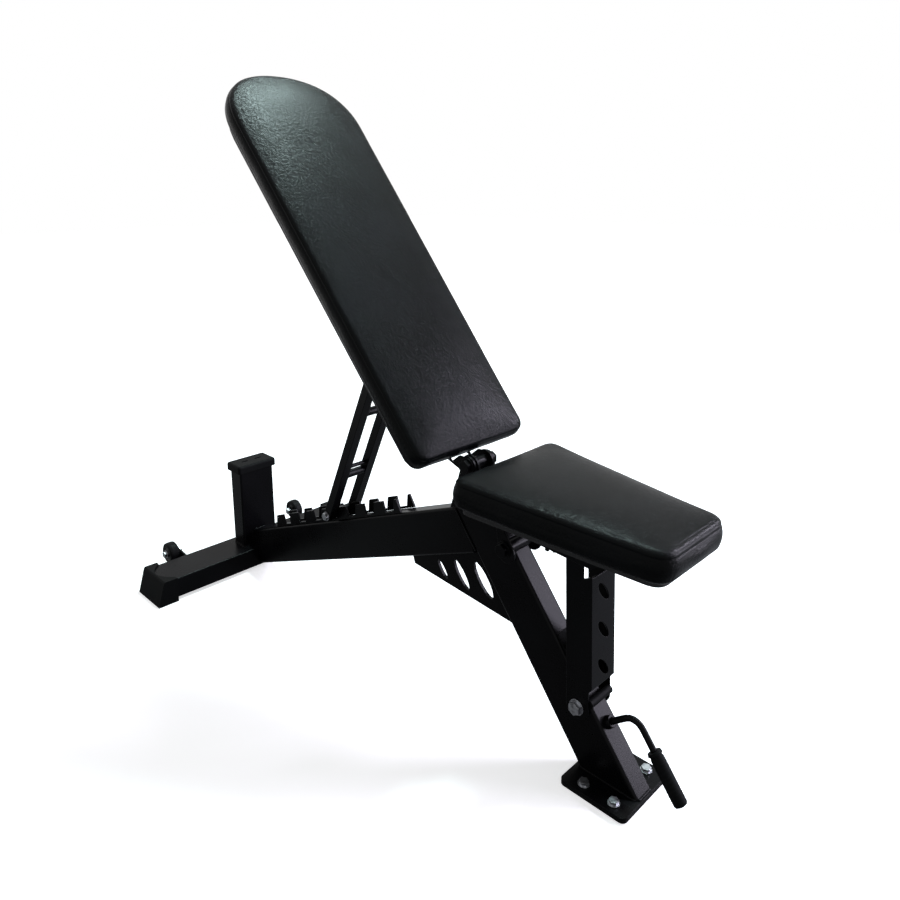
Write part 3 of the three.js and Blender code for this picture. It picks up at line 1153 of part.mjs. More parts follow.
// ---------------------------------------------------------------- the bench
function framePieces() {
  const group = new THREE.Group();
  group.add(
    piece('rear_cross_tube', rearTube(), paint()),
    ...pair('rear_foot_cap', rearCap(), rubber),
    piece('rear_post', rearPost(), paint()),
    piece('rear_post_cap', postCap(), rubber()),
    piece('main_beam', mainBeam(), paint()),
    piece('front_leg', frontLeg(), paint()),
    piece('gusset_plate', gussetPlate(), paint()),
    ...pair('notch_plate', slab(notchPlateShape(), plateOuter - NOTCH_PLATE_THICKNESS, plateOuter), paint),
    ...pair('hinge_plate', hingePlate(), paint),
    piece('back_hinge_tube', pivotTube(hingePlateInner - SEAT_GAP, HINGE_PIN_DIAMETER, backHinge), paint()),
    piece('seat_hinge_tube', pivotTube(channelInner - SEAT_GAP, SEAT_PIN_DIAMETER, seatHinge), paint()),
    throughBolt('back_hinge_bolt', HINGE_PIN_DIAMETER, earOuter + SEAT_GAP, backHinge),
    throughBolt('seat_hinge_bolt', SEAT_PIN_DIAMETER, SEAT_CHANNEL_WIDTH / 2 + SEAT_GAP, seatHinge, paint()),
    throughBolt('strut_pivot_bolt', STRUT_PIN_DIAMETER, STRUT_WIDTH / 2 + SEAT_GAP, strutPivot),
    piece('ladder_foot_rod', footRod(), paint()),
    piece('base_plate', baseSheet(BASE_PAD_THICKNESS + SEAT_GAP, baseTop), paint()),
    piece('base_pad', baseSheet(0, BASE_PAD_THICKNESS), rubber()),
    ...baseBoltPlaces.map((place, index) => piece(`base_bolt_${index + 1}`, baseBolt(place), zinc())),
    legBumper(),
    handlePieces(),
    ...wheelPieces(1, 'left'),
    ...wheelPieces(-1, 'right'),
  );
  return group;
}

const bench = new THREE.Group();
bench.add(framePieces(), backrestPieces(), ladderPieces(), seatPieces(), strutPieces());

const bounds = new THREE.Box3().setFromObject(bench, true);
bench.position.set(-(bounds.min.x + bounds.max.x) / 2, 0, -bounds.min.z);

export default bench;
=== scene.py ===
"""Looks of an adjustable weight bench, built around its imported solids.

The solids keep their shapes and get painted, rubber, zinc and plastic finishes. The two covered cushions, the
staples and screws behind them, the rail's plug, the welds and the ribs on the handle's grip are made here.
Lengths are in metres.
"""

import json
import logging
import math
from dataclasses import dataclass
from enum import Enum
from functools import cached_property
from typing import Any, ClassVar, Iterable, Mapping, Sequence, Union

import bmesh
import bpy
import numpy as np
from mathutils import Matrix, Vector
from numpy.typing import NDArray

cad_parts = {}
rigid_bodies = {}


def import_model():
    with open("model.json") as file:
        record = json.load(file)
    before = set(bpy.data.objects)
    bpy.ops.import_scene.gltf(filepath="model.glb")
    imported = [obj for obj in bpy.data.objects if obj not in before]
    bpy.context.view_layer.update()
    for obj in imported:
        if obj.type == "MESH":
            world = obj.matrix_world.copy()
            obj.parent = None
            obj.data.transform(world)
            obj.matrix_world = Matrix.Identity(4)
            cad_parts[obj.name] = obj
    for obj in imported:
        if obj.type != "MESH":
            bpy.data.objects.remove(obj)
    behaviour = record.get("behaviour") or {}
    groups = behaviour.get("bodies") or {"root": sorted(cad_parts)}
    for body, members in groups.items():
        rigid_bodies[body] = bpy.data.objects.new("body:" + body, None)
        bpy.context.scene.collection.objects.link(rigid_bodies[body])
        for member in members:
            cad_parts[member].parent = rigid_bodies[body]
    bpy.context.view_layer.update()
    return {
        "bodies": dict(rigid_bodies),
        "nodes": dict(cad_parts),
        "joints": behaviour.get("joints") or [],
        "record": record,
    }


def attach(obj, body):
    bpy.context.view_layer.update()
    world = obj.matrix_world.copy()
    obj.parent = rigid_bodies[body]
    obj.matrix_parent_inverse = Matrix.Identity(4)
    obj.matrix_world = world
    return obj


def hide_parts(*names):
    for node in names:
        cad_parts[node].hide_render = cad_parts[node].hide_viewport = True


Array = NDArray[np.float64]
Colour = tuple[float, float, float]
Point = tuple[float, float, float]
Shape = tuple[Array, Array]  # points and faces
Pair = tuple[float, float]
Place = Union[Point, Array]
Number = Union["Signal", float]
Socket = bpy.types.NodeSocket
Material = bpy.types.Material

LOG = logging.getLogger("bench")
MM = 0.001
TAU = 2.0 * math.pi
STEEP = 0.9  # a line's height share from which it counts as upright
WEAKEST = 0.4  # a noise's weakest wave against its strongest
BACK_TILT = math.radians(49.4)
SEAT_TILT = math.radians(3.5)
LEG_ANGLE = math.radians(52.2)


# ---------------------------------------------------------------- shader tools
class Signal:
    """A value inside a material, with arithmetic that adds the material's Math nodes."""

    def __init__(self, shader: "Shader", socket: Socket) -> None:
        """Wraps one output socket of a shader."""
        self.shader = shader
        self.socket = socket

    def _math(self, operation: str, *values: Number) -> "Signal":
        """Adds one Math node.

        Args:
            operation: the Math node's operation.
            values: its inputs, in order.

        Returns:
            The node's value.
        """
        node = self.shader.add("ShaderNodeMath", {"operation": operation}, dict(enumerate(values)))
        return Signal(self.shader, node.outputs[0])

    def __add__(self, other: Number) -> "Signal":
        """Sum."""
        return self._math("ADD", self, other)

    __radd__ = __add__

    def __mul__(self, other: Number) -> "Signal":
        """Product."""
        return self._math("MULTIPLY", self, other)

    __rmul__ = __mul__

    def __sub__(self, other: Number) -> "Signal":
        """Difference."""
        return self._math("SUBTRACT", self, other)

    def __rsub__(self, other: Number) -> "Signal":
        """Difference, with the signal taken away."""
        return self._math("SUBTRACT", other, self)

    def ramp(self, low: float, high: float) -> "Signal":
        """A smooth step.

        Args:
            low: it is 0 below this.
            high: it is 1 above this.

        Returns:
            The step's value.
        """
        inputs = {"Value": self, "From Min": low, "From Max": high}
        node = self.shader.add("ShaderNodeMapRange", {"interpolation_type": "SMOOTHSTEP"}, inputs)
        return Signal(self.shader, node.outputs[0])


class Distance(Enum):
    """The distances that cell noise can give."""

    TO_MIDDLE = "F1"
    TO_EDGE = "DISTANCE_TO_EDGE"


class Shader:
    """One material under construction around a Principled surface."""

    WARP_SCALE = 0.45  # the warp's features for each cell
    MIX_FIRST, MIX_SECOND, MIX_RESULT = 6, 7, 2  # a Mix node's colour sockets
    EDGE_SAMPLES = 6

    def __init__(self, name: str) -> None:
        """Makes the material and its surface.

        Args:
            name: the material's name.
        """
        self.material = bpy.data.materials.new(name)
        self.material.use_nodes = True
        self.tree = self.material.node_tree
        self.tree.nodes.clear()
        self.output = self.add("ShaderNodeOutputMaterial")
        self.surface = self.add("ShaderNodeBsdfPrincipled")
        self.tree.links.new(self.surface.outputs[0], self.output.inputs["Surface"])
        self._object: Socket | None = None

    def add(
        self,
        kind: str,
        settings: Mapping[str, Any] | None = None,
        inputs: Mapping[Union[str, int], Any] | None = None,
    ) -> bpy.types.Node:
        """Adds a node.

        Args:
            kind: the node's type.
            settings: its own settings, set first.
            inputs: values or links for its sockets, by name or number.

        Returns:
            The node.
        """
        node = self.tree.nodes.new(kind)
        for key, value in (settings or {}).items():
            setattr(node, key, value)
        for key, value in (inputs or {}).items():
            self.feed(node.inputs[key], value)
        return node

    def feed(self, socket: Socket, value: Any) -> None:
        """Links a signal or socket to an input, or sets the input's own value.

        Args:
            socket: the input.
            value: a signal, a socket, a colour or a number.
        """
        if isinstance(value, Signal):
            self.tree.links.new(value.socket, socket)
        elif isinstance(value, Socket):
            self.tree.links.new(value, socket)
        elif isinstance(value, tuple) and len(value) == 3 and len(socket.default_value) == 4:
            socket.default_value = (*value, 1.0)
        else:
            socket.default_value = value

    def set(self, **values: Any) -> None:
        """Sets inputs of the surface; an underscore in a name stands for a space."""
        for key, value in values.items():
            self.feed(self.surface.inputs[key.replace("_", " ")], value)

    def place(self) -> Socket:
        """Finds where a point is in its object, from one node for the whole material.

        Returns:
            The object coordinates.
        """
        if self._object is None:
            self._object = self.add("ShaderNodeTexCoord").outputs["Object"]
        return self._object

    def noise(
        self, scale: float, detail: float = 2.0, rough: float = 0.5, stretch: Point = (1.0, 1.0, 1.0)
    ) -> Signal:
        """Fractal noise in the object's place.

        Args:
            scale: features per metre.
            detail: octaves.
            rough: share of each finer octave.
            stretch: factor on each axis.

        Returns:
            A value from 0 to 1.
        """
        vector = self.place()
        if stretch != (1.0, 1.0, 1.0):
            vector = self.add("ShaderNodeMapping", {}, {"Vector": vector, "Scale": stretch}).outputs[0]
        inputs = {"Vector": vector, "Scale": scale, "Detail": detail, "Roughness": rough}
        return Signal(self, self.add("ShaderNodeTexNoise", {}, inputs).outputs[0])

    def cells(self, scale: float, distance: Distance, warp: float = 0.0) -> Signal:
        """Cell noise in the object's place.

        Args:
            scale: cells per metre.
            distance: which distance is read.
            warp: how far the cells are pushed about, in metres.

        Returns:
            The distance, in cells.
        """
        vector = self.place()
        if warp:
            inputs = {"Vector": vector, "Scale": scale * self.WARP_SCALE, "Detail": 1.0}
            wobble = self.add("ShaderNodeTexNoise", {}, inputs).outputs["Color"]
            inputs = {0: wobble, 1: (warp, warp, warp), 2: vector}
            vector = self.add("ShaderNodeVectorMath", {"operation": "MULTIPLY_ADD"}, inputs).outputs[0]
        inputs = {"Vector": vector, "Scale": scale}
        node = self.add("ShaderNodeTexVoronoi", {"feature": distance.value}, inputs)
        return Signal(self, node.outputs["Distance"])

    def mix(self, share: Number, first: Any, second: Any) -> Socket:
        """A blend of two colours.

        Args:
            share: how much of the second shows.
            first: a colour or a socket.
            second: a colour or a socket.

        Returns:
            The blended colour.
        """
        node = self.add("ShaderNodeMix", {"data_type": "RGBA"}, {"Factor": share})
        self.feed(node.inputs[self.MIX_FIRST], first)
        self.feed(node.inputs[self.MIX_SECOND], second)
        return node.outputs[self.MIX_RESULT]

    def relief(self, height: Signal, depth: float, strength: float, edge: float = 0.0) -> None:
        """Gives the surface a relief, and rounds its edges.

        Args:
            height: the relief, from 0 to 1.
            depth: the relief's depth in metres.
            strength: how strongly it shows.
            edge: the radius to which edges look rounded.
        """
        inputs: dict[Union[str, int], Any] = {"Height": height, "Distance": depth, "Strength": strength}
        if edge:
            bevel = self.add("ShaderNodeBevel", {"samples": self.EDGE_SAMPLES}, {"Radius": edge})
            inputs["Normal"] = bevel.outputs[0]
        node = self.add("ShaderNodeBump", {}, inputs)
        self.feed(self.surface.inputs["Normal"], node.outputs[0])


# ---------------------------------------------------------------- finishes
@dataclass(frozen=True)
class PowderCoat:
    """Satin black powder coat on steel: dusty clouds, fine specks and an orange-peel skin of two scales."""

    name: str = "black_powder_coat"
    colour: Colour = (0.0022, 0.0022, 0.0026)
    dust: Colour = (0.006, 0.006, 0.0072)
    dust_share: float = 0.35
    dust_span: Pair = (0.35, 0.85)
    roughness: float = 0.29
    cloud_roughness: float = 0.16
    speck_roughness: float = 0.12
    ior: float = 1.15
    clouds: float = 9.0
    specks: float = 420.0
    peel: float = 760.0
    fine_peel: float = 2400.0
    peel_share: float = 0.7
    fine_peel_share: float = 0.3
    peel_depth: float = 0.00006
    edge: float = 0.0016

    def build(self) -> Material:
        """Builds the material.

        Returns:
            The material.
        """
        s = Shader(self.name)
        cloud = s.noise(self.clouds, 3.0)
        speck = s.noise(self.specks, 2.0)
        uneven = (cloud - 0.5) * self.cloud_roughness
        s.set(
            Base_Color=s.mix(cloud.ramp(*self.dust_span) * self.dust_share, self.colour, self.dust),
            Roughness=self.roughness + uneven + (speck - 0.5) * self.speck_roughness,
            IOR=self.ior,
        )
        peel = s.noise(self.peel, 1.0) * self.peel_share + s.noise(self.fine_peel, 1.0) * self.fine_peel_share
        s.relief(peel, self.peel_depth, 1.0, self.edge)
        return s.material


@dataclass(frozen=True)
class Rubber:
    """Moulded black rubber: matt, with a pale bloom and a fine stipple."""

    name: str = "moulded_rubber"
    colour: Colour = (0.003, 0.0033, 0.0035)
    roughness: float = 0.55
    stipple: float = 900.0
    bloom: Colour = (0.009, 0.009, 0.0095)
    bloom_share: float = 0.5
    bloom_span: Pair = (0.5, 0.8)
    cloud_roughness: float = 0.18
    ior: float = 1.12
    clouds: float = 14.0
    stipple_depth: float = 0.00012
    stipple_strength: float = 0.7
    edge: float = 0.0012

    def build(self) -> Material:
        """Builds the material.

        Returns:
            The material.
        """
        s = Shader(self.name)
        cloud = s.noise(self.clouds, 3.0)
        bloom = cloud.ramp(*self.bloom_span) * self.bloom_share
        s.set(
            Base_Color=s.mix(bloom, self.colour, self.bloom),
            Roughness=self.roughness + (cloud - 0.5) * self.cloud_roughness,
            IOR=self.ior,
        )
        stipple = s.cells(self.stipple, Distance.TO_MIDDLE)
        s.relief(stipple, self.stipple_depth, self.stipple_strength, self.edge)
        return s.material


@dataclass(frozen=True)
class Zinc:
    """Zinc plate, clouded and finely scratched."""

    name: str = "zinc_plate"
    colour: Colour = (0.36, 0.37, 0.39)
    dull: Colour = (0.12, 0.12, 0.13)
    dull_span: Pair = (0.4, 0.75)
    roughness: float = 0.2
    cloud_roughness: float = 0.24
    clouds: float = 130.0
    scratches: float = 2600.0
    scratch_depth: float = 0.00003
    scratch_strength: float = 0.6
    edge: float = 0.0006

    def build(self) -> Material:
        """Builds the material.

        Returns:
            The material.
        """
        s = Shader(self.name)
        cloud = s.noise(self.clouds, 4.0)
        s.set(
            Base_Color=s.mix(cloud.ramp(*self.dull_span), self.colour, self.dull),
            Metallic=1.0,
            Roughness=self.roughness + cloud * self.cloud_roughness,
        )
        s.relief(s.noise(self.scratches, 2.0), self.scratch_depth, self.scratch_strength, self.edge)
        return s.material


@dataclass(frozen=True)
class Vinyl:
    """Black upholstery vinyl: wrinkled leather grain with pebbles and creases, and a soft cool sheen."""

    name: str = "grained_vinyl"
    colour: Colour = (0.0018, 0.0024, 0.0025)
    worn: Colour = (0.0036, 0.0042, 0.005)
    worn_span: Pair = (0.3, 0.8)
    roughness: float = 0.2
    cloud_roughness: float = 0.1
    spot_roughness: float = 0.16
    ior: float = 1.12
    clouds: float = 7.0
    spots: float = 210.0
    pebbles: float = 820.0
    pebble_warp: float = 0.0011
    creases: float = 344.4
    crease_warp: float = 0.0018
    crease_width: float = 0.09
    wrinkles: float = 185.0
    shares: tuple[float, float, float] = (0.12, 0.12, 0.76)  # of pebbles, creases and wrinkles
    depth: float = 0.001
    strength: float = 0.8

    def build(self) -> Material:
        """Builds the material.

        Returns:
            The material.
        """
        s = Shader(self.name)
        cloud = s.noise(self.clouds, 3.0)
        pebble = s.cells(self.pebbles, Distance.TO_MIDDLE, self.pebble_warp)
        crease = s.cells(self.creases, Distance.TO_EDGE, self.crease_warp).ramp(0.0, self.crease_width)
        spot = s.noise(self.spots, 2.0)
        uneven = (cloud - 0.5) * self.cloud_roughness
        s.set(
            Base_Color=s.mix(cloud.ramp(*self.worn_span), self.colour, self.worn),
            Roughness=self.roughness + uneven + (spot - 0.5) * self.spot_roughness,
            IOR=self.ior,
        )
        wrinkle = s.noise(self.wrinkles, 3.0, 0.6)
        round_share, sharp_share, soft_share = self.shares
        height = (1.0 - pebble) * round_share + crease * sharp_share + wrinkle * soft_share
        s.relief(height, self.depth, self.strength)
        return s.material


@dataclass(frozen=True)
class BackingBoard:
    """Plywood behind the pads, covered in a black spun cloth."""

    name: str = "covered_board"
    colour: Colour = (0.014, 0.014, 0.0145)
    fibre: Colour = (0.03, 0.03, 0.031)
    fibre_span: Pair = (0.45, 0.75)
    roughness: float = 0.9
    fibres: float = 520.0
    fibre_stretch: Point = (1.0, 0.35, 1.0)
    fibre_depth: float = 0.0002
    fibre_strength: float = 0.8

    def build(self) -> Material:
        """Builds the material.

        Returns:
            The material.
        """
        s = Shader(self.name)
        fibre = s.noise(self.fibres, 3.0, 0.7, self.fibre_stretch)
        colour = s.mix(fibre.ramp(*self.fibre_span), self.colour, self.fibre)
        s.set(Base_Color=colour, Roughness=self.roughness)
        s.relief(fibre, self.fibre_depth, self.fibre_strength)
        return s.material


@dataclass(frozen=True)
class Plastic:
    """Moulded black plastic with a faint sparkle texture."""

    name: str = "moulded_plastic"
    colour: Colour = (0.008, 0.008, 0.009)
    roughness: float = 0.4
    speck_roughness: float = 0.2
    ior: float = 1.35
    specks: float = 1300.0
    speck_depth: float = 0.00008
    speck_strength: float = 0.6
    edge: float = 0.0008

    def build(self) -> Material:
        """Builds the material.

        Returns:
            The material.
        """
        s = Shader(self.name)
        speck = s.noise(self.specks, 2.0)
        s.set(
            Base_Color=self.colour,
            Roughness=self.roughness + (speck - 0.5) * self.speck_roughness,
            IOR=self.ior,
        )
        s.relief(speck, self.speck_depth, self.speck_strength, self.edge)
        return s.material


class Finish(Enum):
    """The bench's finishes, each with the record's slot that it belongs to."""

    PAINT = (PowderCoat(), "painted_frame")
    RUBBER = (Rubber(), "black_rubber")
    ZINC = (Zinc(), "zinc_fasteners")
    VINYL = (Vinyl(), "vinyl_cover")
    BOARD = (BackingBoard(), "backing_board")
    TYRE = (Rubber("tyre_rubber", (0.006, 0.006, 0.0063), roughness=0.42, stipple=1400.0), "wheel_tyres")
    HUB = (Plastic(), "wheel_hubs")

    @cached_property
    def material(self) -> Material:
        """The material, built once."""
        return self.value[0].build()


# ---------------------------------------------------------------- mesh tools
def make_piece(name: str, points: Array, faces: Array, material: Material) -> bpy.types.Object:
    """Makes a smoothly shaded mesh object at the origin.

    Args:
        name: the piece's name.
        points: its points, one row each.
        faces: the point numbers of each face, one row each.
        material: its finish.

    Returns:
        The object.
    """
    mesh = bpy.data.meshes.new(name)
    mesh.from_pydata(points.tolist(), [], faces.tolist())
    mesh.validate()
    mesh.polygons.foreach_set("use_smooth", [True] * len(mesh.polygons))
    mesh.materials.append(material)
    piece = bpy.data.objects.new(name, mesh)
    bpy.context.scene.collection.objects.link(piece)
    return piece


def grid_faces(rows: int, columns: int) -> Array:
    """Quads between the closed rings of a grid of points.

    Args:
        rows: rings of points.
        columns: points in a ring.

    Returns:
        Four point numbers a face.
    """
    r, c = np.meshgrid(np.arange(rows - 1), np.arange(columns), indexing="ij")
    right = (c + 1) % columns
    low, high = r * columns, (r + 1) * columns
    return np.stack([low + c, low + right, high + right, high + c], -1).reshape(-1, 4)


def lathe(profile: Array, base: Place, axis: Place, around: int, place: "Placement") -> Shape:
    """A profile turned about a line: base plus height along the axis plus radius times a turning unit vector.

    Args:
        profile: radius and height, one row a ring.
        base: where the height is nought.
        axis: unit vector along the line.
        around: points in a ring.
        place: the axes in which the base and the axis are given.

    Returns:
        Points and faces.
    """
    foot, tip = place.out(np.array([base, np.add(base, axis)]))
    along = tip - foot
    u = np.cross(along, np.eye(3)[2 if abs(along[2]) < STEEP else 0])
    u /= np.linalg.norm(u)
    v = np.cross(along, u)
    angle = np.arange(around) / around * TAU
    spoke = np.cos(angle)[:, None] * u + np.sin(angle)[:, None] * v
    points = foot + profile[:, 1, None, None] * along + profile[:, 0, None, None] * spoke[None]
    return points.reshape(-1, 3), grid_faces(len(profile), around)


def gather(parts: Iterable[Shape]) -> Shape:
    """Joins several shapes into one.

    Args:
        parts: points and faces of each.

    Returns:
        All the points and all the faces.
    """
    points, faces, start = [], [], 0
    for some, quads in parts:
        points.append(some)
        faces.append(quads + start)
        start += len(some)
    return np.vstack(points), np.vstack(faces)


@dataclass(frozen=True)
class Placement:
    """Axes that stand at a point and are turned about Y."""

    origin: Point
    tilt: float

    def out(self, points: Array) -> Array:
        """Gives places in the bench's own axes: the origin plus x cos + z sin, y, and -x sin + z cos.

        Args:
            points: places in these axes, the last index being x, y and z.

        Returns:
            The same places in the bench's axes.
        """
        c, s = math.cos(self.tilt), math.sin(self.tilt)
        x, y, z = points[..., 0], points[..., 1], points[..., 2]
        turned = np.stack([x * c + z * s, y, -x * s + z * c], -1)
        return turned + np.asarray(self.origin)


BENCH = Placement((0.0, 0.0, 0.0), 0.0)


@dataclass(frozen=True)
class Bead:
    """A straight weld bead, with its radius on the crests, its ripples and its rounded ends."""

    radius: float = 0.0017
    step: float = 0.0011
    ripple: float = 0.13
    pitch: float = 0.0042
    closing: float = 1.5  # an end's length in radii
    fewest: int = 6
    around: int = 8

    def shape(self, start: Array, end: Array) -> Shape:
        """A lathe shape whose radius falls with the cosine of the run and closes as a root at both ends.

        Args:
            start: one end.
            end: the other end.

        Returns:
            Points and faces.
        """
        length = float(np.linalg.norm(end - start))
        run = np.linspace(0.0, length, max(self.fewest, int(length / self.step)))
        closed = np.sqrt(np.clip(np.minimum(run, length - run) / (self.closing * self.radius), 0.0, 1.0))
        crests = 1 - self.ripple + self.ripple * np.abs(np.cos(math.pi * run / self.pitch))
        profile = np.stack([self.radius * crests * closed, run], 1)
        return lathe(profile, start, (end - start) / length, self.around, BENCH)


class WeightBench:
    """Everything that the sub-assemblies share."""

    def __init__(self, frame: Mapping[str, Any]) -> None:
        """Reads the joints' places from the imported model.

        Args:
            frame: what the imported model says.
        """
        self.frame = frame
        joints = {joint["name"]: tuple(joint["pos_m"]) for joint in frame["joints"]}
        self.back = Placement(joints["backrest_hinge"], BACK_TILT)
        self.seat = Placement(joints["seat_hinge"], SEAT_TILT)

    def add(
        self, name: str, parts: Iterable[Shape], body: str, finish: Finish, merge: float = 1e-7
    ) -> bpy.types.Object:
        """Makes one piece of several shapes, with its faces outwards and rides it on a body.

        Args:
            name: the piece's name.
            parts: points and faces of each shape.
            body: the body that it moves with.
            finish: its finish.
            merge: points nearer than this become one.

        Returns:
            The piece.
        """
        piece = make_piece(name, *gather(parts), finish.material)
        work = bmesh.new()
        work.from_mesh(piece.data)
        bmesh.ops.remove_doubles(work, verts=work.verts, dist=merge)
        bmesh.ops.recalc_face_normals(work, faces=work.faces)
        work.to_mesh(piece.data)
        work.free()
        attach(piece, body)
        LOG.info("%s: %d faces, with %s", name, len(piece.data.polygons), body)
        return piece


# ---------------------------------------------------------------- cushions
def bezier(controls: Sequence[Pair], count: int) -> Array:
    """Points along a Bezier curve, without its last point.

    The curve is the sum of each control times its Bernstein weight.

    Args:
        controls: its control points.
        count: how many points.

    Returns:
        One row a point.
    """
    t = np.arange(count) / count
    n = len(controls) - 1
    weights = np.stack([math.comb(n, k) * t**k * (1 - t) ** (n - k) for k in range(n + 1)], 1)
    return weights @ np.asarray(controls, float)


def both(x: float, y: float) -> list[Pair]:
    """A corner and its mirror image."""
    return [(x, y), (x, -y)]


def even_loop(points: Array, count: int) -> Array:
    """The same closed line with evenly spaced points.

    Args:
        points: a closed line.
        count: how many points to give back.

    Returns:
        One row a point.
    """
    closed = np.vstack([points, points[:1]])
    run = np.concatenate([[0.0], np.cumsum(np.hypot(*np.diff(closed, axis=0).T))])
    want = np.arange(count) / count * run[-1]
    return np.stack([np.interp(want, run, closed[:, 0]), np.interp(want, run, closed[:, 1])], 1)


def bump(distance: Array, width: float) -> Array:
    """A Gaussian bump: the exponential of minus the square of distance over width."""
    return np.exp(-((distance / width) ** 2))


def loop_noise(count: int, length: float, low: float, high: float, seed: int) -> Array:
    """Smooth noise round a closed line: cosines whose wavelengths lie between low and high.

    Args:
        count: points round the line.
        length: the line's length.
        low: shortest wavelength.
        high: longest wavelength.
        seed: picks the noise.

    Returns:
        Values of about -1 to 1.
    """
    random = np.random.default_rng(seed)
    waves = np.arange(max(1, int(length / high)), int(length / low) + 1)
    phase = random.uniform(0, TAU, waves.size)
    weight = random.uniform(WEAKEST, 1.0, waves.size)
    t = np.arange(count)[:, None] / count
    total = (weight * np.cos(TAU * waves * t + phase)).sum(1)
    return total / np.abs(total).max()


@dataclass(frozen=True)
class Cloth:
    """How the cover is simulated as cloth on a coarse grid, and how its moves are limited and evened out."""

    SETTINGS: ClassVar[Mapping[str, Any]] = {
        "quality": 5,
        "mass": 0.3,
        "tension_stiffness": 30.0,
        "compression_stiffness": 30.0,
        "shear_stiffness": 12.0,
        "bending_stiffness": 0.6,
        "use_pressure": True,
        "uniform_pressure_force": 4.0,
    }
    around: int = 220
    rings: Sequence[int] = (22, 5, 6, 3, 4)
    held_from: float = 3.5  # place along the section
    frames: int = 20
    longest: float = 0.0024
    face_passes: int = 40
    loop_passes: int = 60


@dataclass(frozen=True)
class Slack:
    """The cover's waves, pleats, seam and puckers: ranges of wavelength, heights and widths.

    A mix is a constant and a factor on a noise. Depths are shares of the pad's thickness.
    """

    fine: Pair = (0.010, 0.028)
    broad: Pair = (0.05, 0.16)
    tight: Pair = (0.006, 0.011)
    fine_height: float = 0.0001
    broad_height: float = 0.0005
    fine_mix: Pair = (0.45, 0.55)
    front_share: float = 0.35  # of the side's waves that reaches the front
    face_fade: float = 0.12  # share of the way to the spine
    until: float = 3.9  # place along the section
    pleat: float = 0.0002
    pleat_reach: float = 0.045
    pleat_from: float = 0.25  # depth
    pleat_over: float = 0.5  # depth
    seam_below: float = 0.0015
    seam_width: float = 0.0013
    seam_depth: float = 0.0009
    seam_mix: Pair = (0.8, 0.35)
    seam_span: Pair = (1.2, 3.0)
    pucker: float = 0.0002
    pucker_width: float = 0.0048
    pucker_mix: Pair = (0.7, 0.5)
    pucker_span: Pair = (1.0, 3.0)
    lift_over: float = 0.4  # depth


